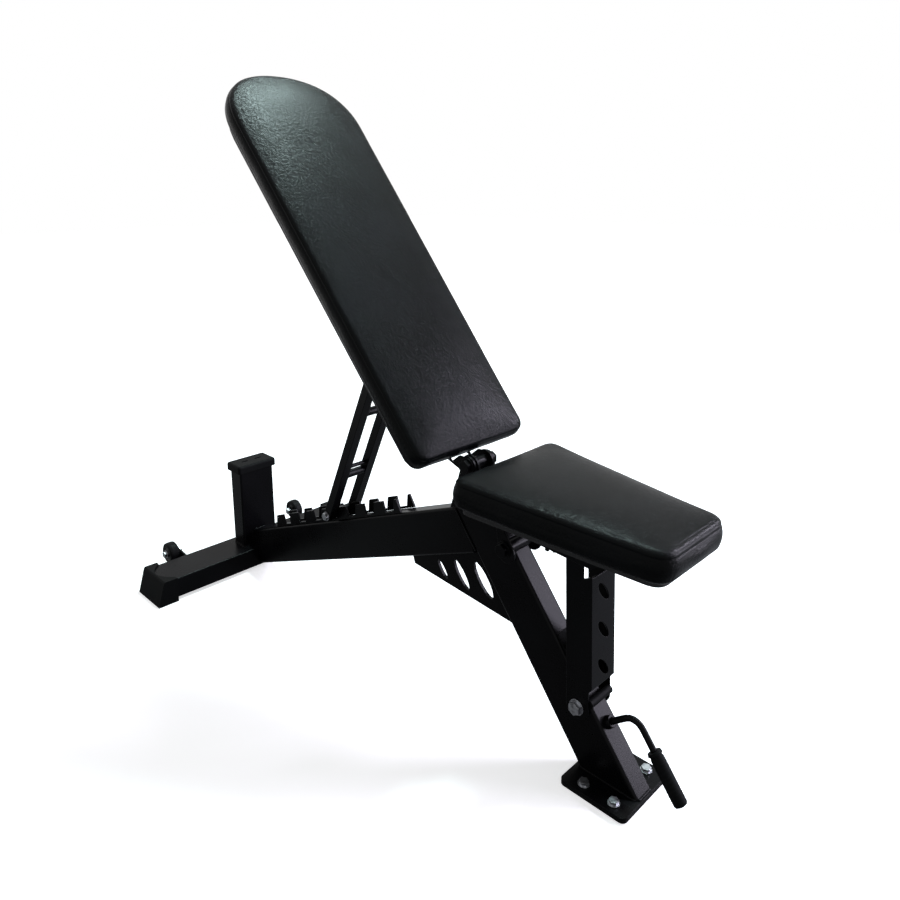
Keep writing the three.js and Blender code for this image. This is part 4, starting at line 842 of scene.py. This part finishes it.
@dataclass
class Cushion:
    """A foam pad under tight vinyl, pulled over a board.

    Its plan is a closed outline, its section a crowned face, a soft front edge, a side that bellies out a
    little and a tighter back edge.
    """

    bench: WeightBench
    place: Placement
    name: str
    node: str
    body: str
    outline: Array
    spine: Pair
    front: float
    back: float
    crown: float
    corners: Sequence[Pair]
    seed: int
    front_reach: float = 0.0085
    front_depth: float = 0.0068
    back_reach: float = 0.012
    back_depth: float = 0.009
    belly: float = 0.0022
    around: int = 640
    rings: Sequence[int] = (26, 16, 22, 8, 6)
    crowding: float = 1.5  # of the face's rings towards its edge
    round_off: float = 0.024
    crown_fade: float = 0.08  # share of the way to the spine
    edge_step: int = 4  # points of the edge to each term of the integral
    slim: float = 0.0012  # how much smaller the cloth starts
    merge: float = 2e-5
    board: float = 0.0093  # from the pad's back to its board's
    staple_inset: float = 0.020
    staple_length: float = 0.010
    wire: float = 0.0006  # half a staple's thickness
    cloth: Cloth = Cloth()
    slack: Slack = Slack()

    def section(self, rings: Sequence[int]) -> tuple[Array, Array, Array, Array]:
        """The section from the middle of the face to the middle of the back.

        Args:
            rings: how many rings the face, its edge, the side, the heel and the back get.

        Returns:
            Each ring's inset from the outline in metres, its share of the way on to the spine, its height,
            and its place along the section, which grows by one from part to part.
        """
        low, high = self.back + self.back_depth, self.front - self.front_depth
        face, turn, down, under, rear = [np.linspace(0.0, 1.0, count, endpoint=False) for count in rings]
        rear = np.append(rear, 1.0)
        angle = math.pi / 2
        face = 1 - (1 - face) ** self.crowding
        inset = [
            np.full(face.size, self.front_reach),
            self.front_reach * (1 - np.cos(angle * (1 - turn))),
            -self.belly * np.sin(math.pi * down),
            self.back_reach * (1 - np.cos(angle * under)),
            np.full(rear.size, self.back_reach),
        ]
        share = [1 - face, *(np.zeros(part.size) for part in (turn, down, under)), rear]
        height = [
            np.full(face.size, self.front),
            self.front - self.front_depth * (1 - np.sin(angle * (1 - turn))),
            high + (low - high) * down,
            low - self.back_depth * np.sin(angle * under),
            np.full(rear.size, self.back),
        ]
        along = [1 - (1 - face) ** (1 / self.crowding), 1 + turn, 2 + down, 3 + under, 4 + rear]
        return tuple(np.concatenate(part) for part in (inset, share, height, along))

    def surface(self, rings: Sequence[int], around: int, slim: float) -> Array:
        """The pad's grid of points: each ring is the outline moved inwards and then drawn towards the spine.

        The face rises by the crown times one less a nearness, which is the integral round the edge of the
        exponential of minus the distance over the rounding-off length.

        Args:
            rings: rings in each part of the section.
            around: points in a ring.
            slim: how much smaller than the pad the shape is.

        Returns:
            Points by ring and place round it.
        """
        line, inward = self.line(around)
        middle = np.stack([np.clip(line[:, 0], *self.spine), np.zeros(around)], 1)
        inset, share, height, _ = self.section(rings)
        edge = line[None] + inward[None] * (inset + slim)[:, None, None]
        plan = edge + (middle[None] - edge) * share[:, None, None]
        front = slim * np.clip((height - self.back) / (self.front - self.back), 0, 1)
        tall = np.repeat((height - front)[:, None], around, 1)
        face, step = rings[0], self.edge_step
        gaps = np.hypot(*(np.roll(edge[0], -1, 0) - edge[0]).T)
        away = np.linalg.norm(plan[:face, :, None] - edge[0][None, None, ::step], axis=3)
        near = (np.exp(-away / self.round_off) * gaps[::step] * step).sum(2) / (2 * self.round_off)
        rise = np.clip(share[:face, None] / self.crown_fade, 0, 1)
        tall[:face] += self.crown * rise * (1 - np.clip(near, 0, 1))
        return np.concatenate([plan, tall[..., None]], 2)

    def line(self, around: int) -> tuple[Array, Array]:
        """The outline with evenly spaced points.

        Args:
            around: how many points.

        Returns:
            The points, and the inward direction at each.
        """
        line = even_loop(self.outline, around)
        ahead = np.roll(line, -1, 0) - np.roll(line, 1, 0)
        inward = np.stack([-ahead[:, 1], ahead[:, 0]], 1)
        return line, inward / np.hypot(*inward.T)[:, None]

    def _sheet(self, points: Array, quads: Array) -> bpy.types.Object:
        """Makes the cover as a closed sheet that faces outwards, with triangles where two corners are one.

        Args:
            points: its points.
            quads: four point numbers a face.

        Returns:
            The sheet.
        """
        own = ~((quads[:, :, None] == quads[:, None, :]) & np.tri(4, k=-1, dtype=bool)).any(2)
        corners = own.sum(1)
        whole = quads[corners == 4]
        faces = whole.tolist() + quads[corners == 3][own[corners == 3]].reshape(-1, 3).tolist()
        a, b, c, d = (points[whole[:, k]] for k in range(4))
        if (np.cross(b - a, c - a) * a + np.cross(c - a, d - a) * a).sum() < 0:
            faces = [face[::-1] for face in faces]
        mesh = bpy.data.meshes.new("cover")
        mesh.from_pydata(points.tolist(), [], faces)
        sheet = bpy.data.objects.new("cover", mesh)
        bpy.context.scene.collection.objects.link(sheet)
        return sheet

    def _blow(self, sheet: bpy.types.Object, held: Array) -> Array:
        """Blows a sheet up as cloth without gravity, and removes it.

        Args:
            sheet: the sheet.
            held: numbers of the points that stay where they are.

        Returns:
            Where its points end.
        """
        group = sheet.vertex_groups.new(name="board")
        group.add(held.tolist(), 1.0, "REPLACE")
        settings = sheet.modifiers.new("cloth", "CLOTH").settings
        for key, value in self.cloth.SETTINGS.items():
            setattr(settings, key, value)
        settings.vertex_group_mass = group.name
        settings.effector_weights.gravity = 0.0
        for frame in range(1, self.cloth.frames + 1):
            bpy.context.scene.frame_set(frame)
        result = sheet.evaluated_get(bpy.context.evaluated_depsgraph_get()).to_mesh()
        end = np.empty(len(result.vertices) * 3)
        result.vertices.foreach_get("co", end)
        bpy.context.scene.frame_set(1)
        mesh = sheet.data
        bpy.data.objects.remove(sheet)
        bpy.data.meshes.remove(mesh)
        return end.reshape(-1, 3)

    def _stretch(self) -> Array:
        """Finds how the cover moves when it is blown up.

        A move of length d becomes the longest one times the hyperbolic tangent of d over the longest. Then
        each pass gives a point half of its own move and a quarter of each neighbour's.

        Returns:
            A move for each point of the coarse grid.
        """
        cloth = self.cloth
        start = self.place.out(self.surface(cloth.rings, cloth.around, self.slim))
        flat = start.reshape(-1, 3)
        _, first, same = np.unique(np.round(flat, 6), axis=0, return_index=True, return_inverse=True)
        same = same.reshape(-1)
        sheet = self._sheet(flat[first], same[grid_faces(start.shape[0], cloth.around)])
        along = np.repeat(self.section(cloth.rings)[3], cloth.around)[first]
        end = self._blow(sheet, np.flatnonzero(along > cloth.held_from))
        move = (end - flat[first])[same]
        far = np.linalg.norm(move, axis=1, keepdims=True) + 1e-9
        LOG.info("%s: the cover moves %.1f mm at most", self.name, far.max() / MM)
        moves = (move / far * cloth.longest * np.tanh(far / cloth.longest)).reshape(start.shape)
        face = cloth.rings[0]
        across = -np.arange(cloth.around) % cloth.around
        for _ in range(cloth.face_passes):
            moves[0] = (moves[1] + moves[1][across]) / 2
            moves[1:face] = (moves[: face - 1] + 2 * moves[1:face] + moves[2 : face + 1]) / 4
        for _ in range(cloth.loop_passes):
            moves = (np.roll(moves, 1, 1) + 2 * moves + np.roll(moves, -1, 1)) / 4
        return moves

    def _finer(self, coarse: Array) -> Array:
        """Carries moves to the fine grid, by straight lines along the rings and the section.

        Args:
            coarse: a move for each point of the coarse grid.

        Returns:
            A move for each point of the fine grid.
        """
        wide = np.concatenate([coarse, coarse[:, :1]], 1)
        at = np.arange(self.around) / self.around * self.cloth.around
        left = at.astype(int)
        share = (at - left)[None, :, None]
        even = wide[:, left] * (1 - share) + wide[:, left + 1] * share
        known, wanted = self.section(self.cloth.rings)[3], self.section(self.rings)[3]
        row = np.clip(np.searchsorted(known, wanted, side="right") - 1, 0, known.size - 2)
        step = ((wanted - known[row]) / (known[row + 1] - known[row]))[:, None, None]
        return even[row] * (1 - step) + even[row + 1] * step

    def _slack(self) -> Array:
        """Finds how the cover's slack and seam move it.

        Shallow waves run along the edges and pleats at the corners. The seam is a groove of Gaussian section
        under the rounded edge, and puckers stand across it.

        Returns:
            A move for each point of the fine grid.
        """
        slack = self.slack
        line, inward = self.line(self.around)
        _, share, height, along = self.section(self.rings)
        length = np.hypot(*(np.roll(line, -1, 0) - line).T).sum()
        fine = loop_noise(self.around, length, *slack.fine, self.seed)
        broad = loop_noise(self.around, length, *slack.broad, self.seed + 1)
        tight = loop_noise(self.around, length, *slack.tight, self.seed + 2)
        near = np.zeros(self.around)
        for x, y in self.corners:
            near = np.maximum(near, bump(np.hypot(line[:, 0] - x, line[:, 1] - y), slack.pleat_reach))
        depth = (self.front - height) / (self.front - self.back)
        side = np.where(share > 0, bump(share, slack.face_fade) * (along < slack.until), 1.0)
        even, uneven = slack.fine_mix
        wave = slack.fine_height * fine * (even + uneven * broad) + slack.broad_height * broad
        lower = np.clip((depth - slack.pleat_from) / slack.pleat_over, 0.0, 1.0)
        push = (side * np.clip(slack.front_share + depth, 0.0, 1.0))[:, None] * wave[None]
        push += (side * lower)[:, None] * (slack.pleat * tight * near)[None]
        below = height - (self.front - self.front_depth - slack.seam_below)
        (seam_from, seam_to), (pucker_from, pucker_to) = slack.seam_span, slack.pucker_span
        groove = bump(below, slack.seam_width) * (along > seam_from) * (along < seam_to)
        pucker = bump(below, slack.pucker_width) * (along > pucker_from) * (along < pucker_to)
        even, uneven = slack.seam_mix
        push -= groove[:, None] * (slack.seam_depth * (even + uneven * tight))[None]
        even, uneven = slack.pucker_mix
        push += pucker[:, None] * (slack.pucker * tight * (even + uneven * broad))[None]
        ripple = slack.fine_height * fine * (1 + broad)
        lift = (side * np.clip(1 - depth / slack.lift_over, 0, 1))[:, None] * ripple[None]
        flat = -inward[None] * push[..., None]
        return np.concatenate([flat, lift[..., None]], 2)

    def build(self, fill: float) -> None:
        """Makes the cushion and puts it in its solid's place.

        Args:
            fill: how tight it is; not used.
        """
        grid = self.place.out(self.surface(self.rings, self.around, 0.0) + self._slack())
        grid = grid + self._finer(self._stretch())
        shape = (grid.reshape(-1, 3), grid_faces(grid.shape[0], self.around))
        piece = self.bench.add(self.name, [shape], self.body, Finish.VINYL, self.merge)
        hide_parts(self.node)

    def staple(self, name: str, count: int) -> float:
        """Fastens the cover to the back of the board with staples, side by side round it.

        Each crown is a lathe shape whose radius is the root of one less the eighth power of the run.

        Args:
            name: the name of the piece that the staples make.
            count: how many there are.

        Returns:
            Height of the board's back.
        """
        board = self.back - self.board
        line, inward = self.line(count)
        run = np.linspace(0.0, 1.0, 9)
        radius = self.wire * np.sqrt(np.clip(1 - (2 * run - 1) ** 8, 0, 1))
        profile = np.stack([radius, self.staple_length * (run - 0.5)], 1)
        middle = line + inward * self.staple_inset
        crowns = [
            lathe(profile, (x, y, board - self.wire / 2), (-v, u, 0.0), 8, self.place)
            for (x, y), (u, v) in zip(middle, inward)
        ]
        self.bench.add(name, crowns, self.body, Finish.ZINC)
        return board


def pan_heads(places: Array, face: float, place: Placement) -> list[Shape]:
    """Pan-headed screws with a socket, standing out of a face that looks to the back.

    Args:
        places: x and y of each screw.
        face: height of the face.
        place: the axes of the sub-assembly.

    Returns:
        Points and faces of each head.
    """
    outer = [(0, 0), (6.2, 0), (6.4, 0.5), (6.1, 1.4), (5.2, 2.4), (3.9, 3.0), (2.4, 3.1)]
    profile = np.array([*outer, (2.2, 2.9), (2.1, 1.2), (0, 1.0)]) * MM
    return [lathe(profile, (x, y, face), (0.0, 0.0, -1.0), 20, place) for x, y in places]


@dataclass
class Backrest:
    """The backrest: cushion, covered board and rail."""

    bench: WeightBench
    gap: float = 0.024
    length: float = 0.830
    lower_half: float = 0.129
    upper_half: float = 0.144
    corner: float = 0.026
    head: float = 0.128
    head_pull: float = 0.66  # of the head
    head_round: float = 0.6  # of the upper half width
    front: float = 0.0203
    thickness: float = 0.038
    crown: float = 0.003
    spine_low: float = 0.9  # of the lower half width
    fill: float = 0.9
    staples: int = 84
    screw_rows: Pair = (0.090, 0.560)
    screw_spread: Pair = (0.015, 0.072)
    screw_face: float = 0.0033  # behind the board's back
    plug_end: float = 0.642
    plug_middle: float = 0.0186  # behind the board's back
    plug_half: Pair = (0.0195, 0.0145)
    plug_power: float = 5.0
    plug_around: int = 48

    def outline(self) -> Array:
        """The plan of the cushion: straight tapering sides, a round head and soft lower corners.

        Returns:
            Points of a closed line.
        """
        low, top = -self.gap, -self.gap - self.length
        shoulder = top + self.head
        a, b, c = self.lower_half, self.upper_half, self.corner
        pull, wide = self.head * self.head_pull, self.upper_half * self.head_round
        parts = [
            bezier([(low, 0.0), (low, a - c)], 30),
            bezier([(low, a - c), (low, a), (low - c, a)], 30),
            bezier([(low - c, a), (shoulder, b)], 160),
            bezier([(shoulder, b), (shoulder - pull, b), (top, wide), (top, 0.0)], 60),
            bezier([(top, 0.0), (top, -wide), (shoulder - pull, -b), (shoulder, -b)], 60),
            bezier([(shoulder, -b), (low - c, -a)], 160),
            bezier([(low - c, -a), (low, -a), (low, -a + c)], 30),
            bezier([(low, -a + c), (low, 0.0)], 30),
        ]
        return np.vstack(parts)

    def build(self) -> None:
        """Makes the backrest's own pieces."""
        low, top = -self.gap, -self.gap - self.length
        cushion = Cushion(
            bench=self.bench,
            place=self.bench.back,
            name="back_cushion",
            node="back_pad",
            body="backrest",
            outline=self.outline(),
            spine=(top + self.head, low - self.lower_half * self.spine_low),
            front=self.front,
            back=self.front - self.thickness,
            crown=self.crown,
            corners=both(low, self.lower_half),
            seed=11,
        )
        cushion.build(self.fill)
        board = cushion.staple("back_staples", self.staples)
        along, across = self.screw_spread
        places = [(x - row, y) for row in self.screw_rows for x in (-along, along) for y in (-across, across)]
        screws = pan_heads(np.array(places), board - self.screw_face, self.bench.back)
        self.bench.add("back_screws", screws, "backrest", Finish.ZINC)
        self._plug(board)

    def _plug(self, board: float) -> None:
        """Closes the rail's upper end with a domed plug.

        Its rings are ovals: the fifth powers of the shares of the half width and the half depth add up to one.

        Args:
            board: height of the board's back.
        """
        half_wide, half_deep = self.plug_half
        size = np.array([0.0, 0.35, 0.7, 0.92, 1.0, 1.0, 0.96, 0.0])
        proud = np.array([3.4, 3.4, 3.3, 2.7, 1.5, 0.2, -2.0, -2.0]) * MM
        angle = np.arange(self.plug_around) / self.plug_around * TAU
        power = 2 / self.plug_power
        wide, deep = (np.sign(w) * np.abs(w) ** power for w in (np.cos(angle), np.sin(angle)))
        ring = np.stack([np.zeros(angle.size), wide * half_wide, deep * half_deep], 1)
        grid = ring[None] * size[:, None, None] + np.array([-self.plug_end, 0.0, board - self.plug_middle])
        grid[..., 0] -= proud[:, None]
        shape = (self.bench.back.out(grid).reshape(-1, 3), grid_faces(size.size, angle.size))
        self.bench.add("rail_plug", [shape], "backrest", Finish.HUB)


@dataclass
class Seat:
    """The seat: cushion, covered board and bracket."""

    bench: WeightBench
    rear: float = 0.043
    length: float = 0.342
    rear_half: float = 0.125
    front_half: float = 0.083
    corner: float = 0.028
    top: float = 0.133
    thickness: float = 0.046
    crown: float = 0.004
    spine_reach: Pair = (0.9, 0.95)  # of the rear and front half widths
    fill: float = 0.85
    staples: int = 40

    def outline(self) -> Array:
        """The plan of the cushion: a long trapezium with soft corners.

        Returns:
            Points of a closed line.
        """
        back, front = -self.rear, self.length - self.rear
        a, b, c = self.rear_half, self.front_half, self.corner
        drop = (a - b) / (front - back) * c
        parts = [
            bezier([(back, 0.0), (back, -a + c)], 30),
            bezier([(back, -a + c), (back, -a), (back + c, -a + drop)], 30),
            bezier([(back + c, -a + drop), (front - c, -b - drop)], 90),
            bezier([(front - c, -b - drop), (front, -b), (front, -b + c)], 30),
            bezier([(front, -b + c), (front, b - c)], 50),
            bezier([(front, b - c), (front, b), (front - c, b + drop)], 30),
            bezier([(front - c, b + drop), (back + c, a - drop)], 90),
            bezier([(back + c, a - drop), (back, a), (back, a - c)], 30),
            bezier([(back, a - c), (back, 0.0)], 30),
        ]
        return np.vstack(parts)

    def build(self) -> None:
        """Makes the seat's own pieces."""
        back, front = -self.rear, self.length - self.rear
        near, far = self.spine_reach
        cushion = Cushion(
            bench=self.bench,
            place=self.bench.seat,
            name="seat_cushion",
            node="seat_pad",
            body="seat",
            outline=self.outline(),
            spine=(back + self.rear_half * near, front - self.front_half * far),
            front=self.top,
            back=self.top - self.thickness,
            crown=self.crown,
            corners=[*both(back, self.rear_half), *both(front, self.front_half)],
            seed=23,
        )
        cushion.build(self.fill)
        cushion.staple("seat_staples", self.staples)


@dataclass
class Frame:
    """The fixed frame's welds and the ribs on the handle's grip, in metres from the rear of the foot."""

    bench: WeightBench
    hinge: float = 0.776
    beam_rise: float = 0.39796
    leg_run: float = 0.77568
    half: float = 0.0203
    post: Pair = (0.026, 0.071)
    post_half: float = 0.0433
    rear_top: float = 0.051
    beam_rear: float = 0.088
    leg_front: float = 1.113
    leg_back: float = 1.00985
    leg_foot: float = 0.0086
    joint: tuple[Pair, Pair] = ((0.7906, 0.291), (0.7428, 0.3525))
    ears: Pair = (0.733, 0.811)
    ear_half: float = 0.0192
    ear_sunk: float = 0.0008
    post_proud: float = 0.0006
    post_outside: float = 0.0004
    beam_short: float = 0.002
    beam_inset: float = 0.004
    leg_proud: float = 0.0003
    leg_outside: float = 0.0005
    leg_inset: float = 0.003
    grip_height: float = 0.095
    grip_out: float = 0.058
    first_rib: float = -0.120
    rib_pitch: float = 0.0062
    ribs: int = 9

    def build(self) -> None:
        """Makes the welds and the ribs."""
        shift = self.bench.back.origin[0] - self.hinge
        weld = Bead()
        lines = np.array(self._lines()) + (shift, 0.0, 0.0)
        self.bench.add("frame_welds", [weld.shape(start, end) for start, end in lines], "frame", Finish.PAINT)
        self._ribs(shift)

    def beam_top(self, x: float) -> float:
        """Height of the beam's top face."""
        return self.beam_rear + (x - self.post[1]) * self.beam_rise

    def _lines(self) -> list[tuple[Point, Point]]:
        """Finds the ends of the welds: at the post, between beam and leg, at the leg's foot and at the ears.

        Returns:
            The ends.
        """
        (rear, front), y, h = self.post, self.post_half, self.half
        z, weld = self.rear_top + self.post_proud, front + self.post_proud
        out, top = self.post_outside, self.beam_rear
        lines = [((rear, side, z), (front, side, z)) for side in (-y, y)]
        lines += [((x, -y, z), (x, y, z)) for x in (rear - out, front + out)]
        lines += [((weld, side, z), (weld, side, top - self.beam_short)) for side in (-h, h)]
        lines.append(((weld, -h + self.beam_inset, top), (weld, h - self.beam_inset, top)))
        lines += [tuple((x, side, height) for x, height in self.joint) for side in (-h, h)]
        rear, front, inside, out = self.leg_back, self.leg_front, self.leg_inset, self.leg_outside
        z = self.leg_foot + self.leg_proud
        lines += [((rear + inside, side, z), (front - inside, side, z)) for side in (-h, h)]
        lines += [((x, inside - h, z), (x, h - inside, z)) for x in (rear - out, front + out)]
        ears = [(x, self.beam_top(x) - self.ear_sunk) for x in self.ears]
        lines += [tuple((x, side, height) for x, height in ears) for side in (-self.ear_half, self.ear_half)]
        return lines

    def _ribs(self, shift: float) -> None:
        """Puts rings round the grip: half-round ribs whose sides go down into it.

        Args:
            shift: from the rear of the foot to the bench's own origin.
        """
        foot = self.leg_front - (self.grip_height - self.leg_foot) * self.leg_run + shift
        place = Placement((foot, 0.0, self.grip_height), LEG_ANGLE - math.pi / 2)
        radius = [9.7, 10.4, 10.65, 10.75, 10.65, 10.4, 9.7, 9.7]
        profile = np.stack([radius, [0, 0.2, 0.7, 1.2, 1.7, 2.2, 2.4, 0]], 1) * MM
        lifts = np.arange(self.ribs) * self.rib_pitch + self.first_rib
        shapes = [lathe(profile, (self.grip_out, 0.0, lift), (0.0, 0.0, 1.0), 36, place) for lift in lifts]
        self.bench.add("grip_ribs", shapes, "frame", Finish.RUBBER)


# ---------------------------------------------------------------- painted and moulded nodes
def dress_nodes(bench: WeightBench) -> None:
    """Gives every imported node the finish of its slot; the backrest's hinge bolt is blackened.

    Args:
        bench: the shared parts.
    """
    for entry in bench.frame["record"]["subparts"]:
        node = bench.frame["nodes"][entry["node"]]
        slot = "painted_frame" if entry["node"] == "back_hinge_bolt" else entry["material_slot"]
        node.data.materials.clear()
        node.data.materials.append(next(finish for finish in Finish if finish.value[1] == slot).material)


# ---------------------------------------------------------------- studio
@dataclass(frozen=True)
class Lamp:
    """A soft rectangular lamp at a place, pointing at another."""

    name: str
    place: Point
    aim: Point
    size: Pair
    power: float
    colour: Colour = (1.0, 1.0, 1.0)


@dataclass
class Studio:
    """A white floor, a white surround, soft lamps and the camera, whose angles are in degrees."""

    lamps: Sequence[Lamp] = (
        Lamp("head", (-0.34, 1.22, 3.35), (-0.3, -0.1, 1.07), (0.42, 0.42), 108.0, (0.76, 1.0, 0.98)),
        Lamp("hip", (1.3, 2.2, 1.85), (0.17, 0.1, 0.53), (0.5, 0.5), 56.0, (0.88, 0.84, 1.0)),
        Lamp("leg", (2.06, 1.8, 0.95), (0.4, 0.0, 0.2), (0.7, 1.6), 70.0, (0.87, 0.83, 1.0)),
        Lamp("overhead", (-0.3, 0.1, 3.5), (0.0, 0.0, 0.5), (2.4, 2.4), 22.0),
    )
    floor_half: float = 14.0
    floor_height: float = -0.0004
    floor_seen: Colour = (0.8, 0.8, 0.805)
    floor_lit: Colour = (0.16, 0.16, 0.165)  # what the bench receives from it
    floor_fade: Pair = (0.9, 2.6)
    floor_glow: Pair = (0.6, 0.4)  # near the bench, and what is added far from it
    floor_mirrored: Pair = (0.12, 0.75)  # the same, where it is seen in a surface
    sky: Colour = (0.95, 0.97, 1.0)
    sky_strength: float = 0.3
    azimuth: float = 44.7
    elevation: float = 12.4
    roll: float = -0.1
    eye: Point = (1.0296, -0.8836, 0.8928)
    sensor: float = 36.0
    lens: float = 30.56
    shift: float = -1 / 9

    def build(self) -> None:
        """Makes the floor, the world, the lamps and the camera."""
        self._floor()
        self._world()
        for lamp in self.lamps:
            self._lamp(lamp)
        self._camera()

    def _lamp(self, lamp: Lamp) -> None:
        """Hangs one lamp.

        Args:
            lamp: its settings.
        """
        data = bpy.data.lights.new(lamp.name, "AREA")
        data.shape = "RECTANGLE"
        data.size, data.size_y = lamp.size
        data.energy = lamp.power
        data.color = lamp.colour
        holder = bpy.data.objects.new(lamp.name, data)
        holder.location = lamp.place
        holder.rotation_euler = (Vector(lamp.aim) - Vector(lamp.place)).to_track_quat("-Z", "Y").to_euler()
        bpy.context.scene.collection.objects.link(holder)

    def _floor(self) -> None:
        """Lays a wide white floor that keeps the bench's shadow and shines by itself farther away."""
        half, z = self.floor_half, self.floor_height
        corners = np.array([(-half, -half, z), (half, -half, z), (half, half, z), (-half, half, z)])
        shader = Shader("studio_floor")
        path = shader.add("ShaderNodeLightPath")
        kinds = ("Is Camera Ray", "Is Glossy Ray", "Is Transmission Ray")
        camera, glossy, transmitted = (Signal(shader, path.outputs[kind]) for kind in kinds)
        mirrored = glossy + transmitted
        away = shader.add("ShaderNodeVectorMath", {"operation": "LENGTH"}, {0: shader.place()})
        far = Signal(shader, away.outputs["Value"]).ramp(*self.floor_fade)
        (near_seen, far_seen), (near_mirrored, far_mirrored) = self.floor_glow, self.floor_mirrored
        shader.set(
            Base_Color=shader.mix(camera, self.floor_lit, self.floor_seen),
            Roughness=0.9,
            Specular_IOR_Level=0.0,
            Emission_Color=(1.0, 1.0, 1.0),
            Emission_Strength=camera * (near_seen + far * far_seen)
            + mirrored * (near_mirrored + far * far_mirrored),
        )
        floor = make_piece("studio_floor", corners, np.array([(0, 1, 2, 3)]), shader.material)

    def _world(self) -> None:
        """Surrounds the bench with white for the camera and a plain grey for its light."""
        world = bpy.data.worlds.new("studio_world")
        bpy.context.scene.world = world
        world.use_nodes = True
        nodes, links = world.node_tree.nodes, world.node_tree.links
        nodes.clear()
        path = nodes.new("ShaderNodeLightPath")
        shown, given = nodes.new("ShaderNodeBackground"), nodes.new("ShaderNodeBackground")
        shown.inputs["Color"].default_value = (1, 1, 1, 1)
        given.inputs["Color"].default_value = (*self.sky, 1)
        given.inputs["Strength"].default_value = self.sky_strength
        mix, out = nodes.new("ShaderNodeMixShader"), nodes.new("ShaderNodeOutputWorld")
        share = path.outputs["Is Camera Ray"]
        for kind in ("Is Glossy Ray", "Is Transmission Ray"):
            either = nodes.new("ShaderNodeMath")
            either.operation = "MAXIMUM"
            links.new(share, either.inputs[0])
            links.new(path.outputs[kind], either.inputs[1])
            share = either.outputs[0]
        links.new(share, mix.inputs[0])
        links.new(given.outputs[0], mix.inputs[1])
        links.new(shown.outputs[0], mix.inputs[2])
        links.new(mix.outputs[0], out.inputs[0])

    def _camera(self) -> None:
        """Stands the camera at the front right, a little above the seat."""
        azimuth, elevation, roll = map(math.radians, (self.azimuth, self.elevation, self.roll))
        data = bpy.data.cameras.new("camera")
        data.sensor_width = self.sensor
        data.lens = self.lens
        data.shift_y = self.shift
        camera = bpy.data.objects.new("camera", data)
        camera.location = self.eye
        camera.rotation_euler = (math.pi / 2 - elevation, 0.0, azimuth)
        camera.rotation_euler.rotate_axis("Z", roll)
        bpy.context.scene.collection.objects.link(camera)
        bpy.context.scene.camera = camera


def main() -> None:
    """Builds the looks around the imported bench."""
    logging.basicConfig(level=logging.INFO, format="%(name)s %(message)s")
    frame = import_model()
    bench = WeightBench(frame)
    dress_nodes(bench)
    for part in (Backrest(bench), Seat(bench), Frame(bench), Studio()):
        part.build()
    bpy.context.scene.view_settings.view_transform = "Standard"


if __name__ == "__main__":
    main()
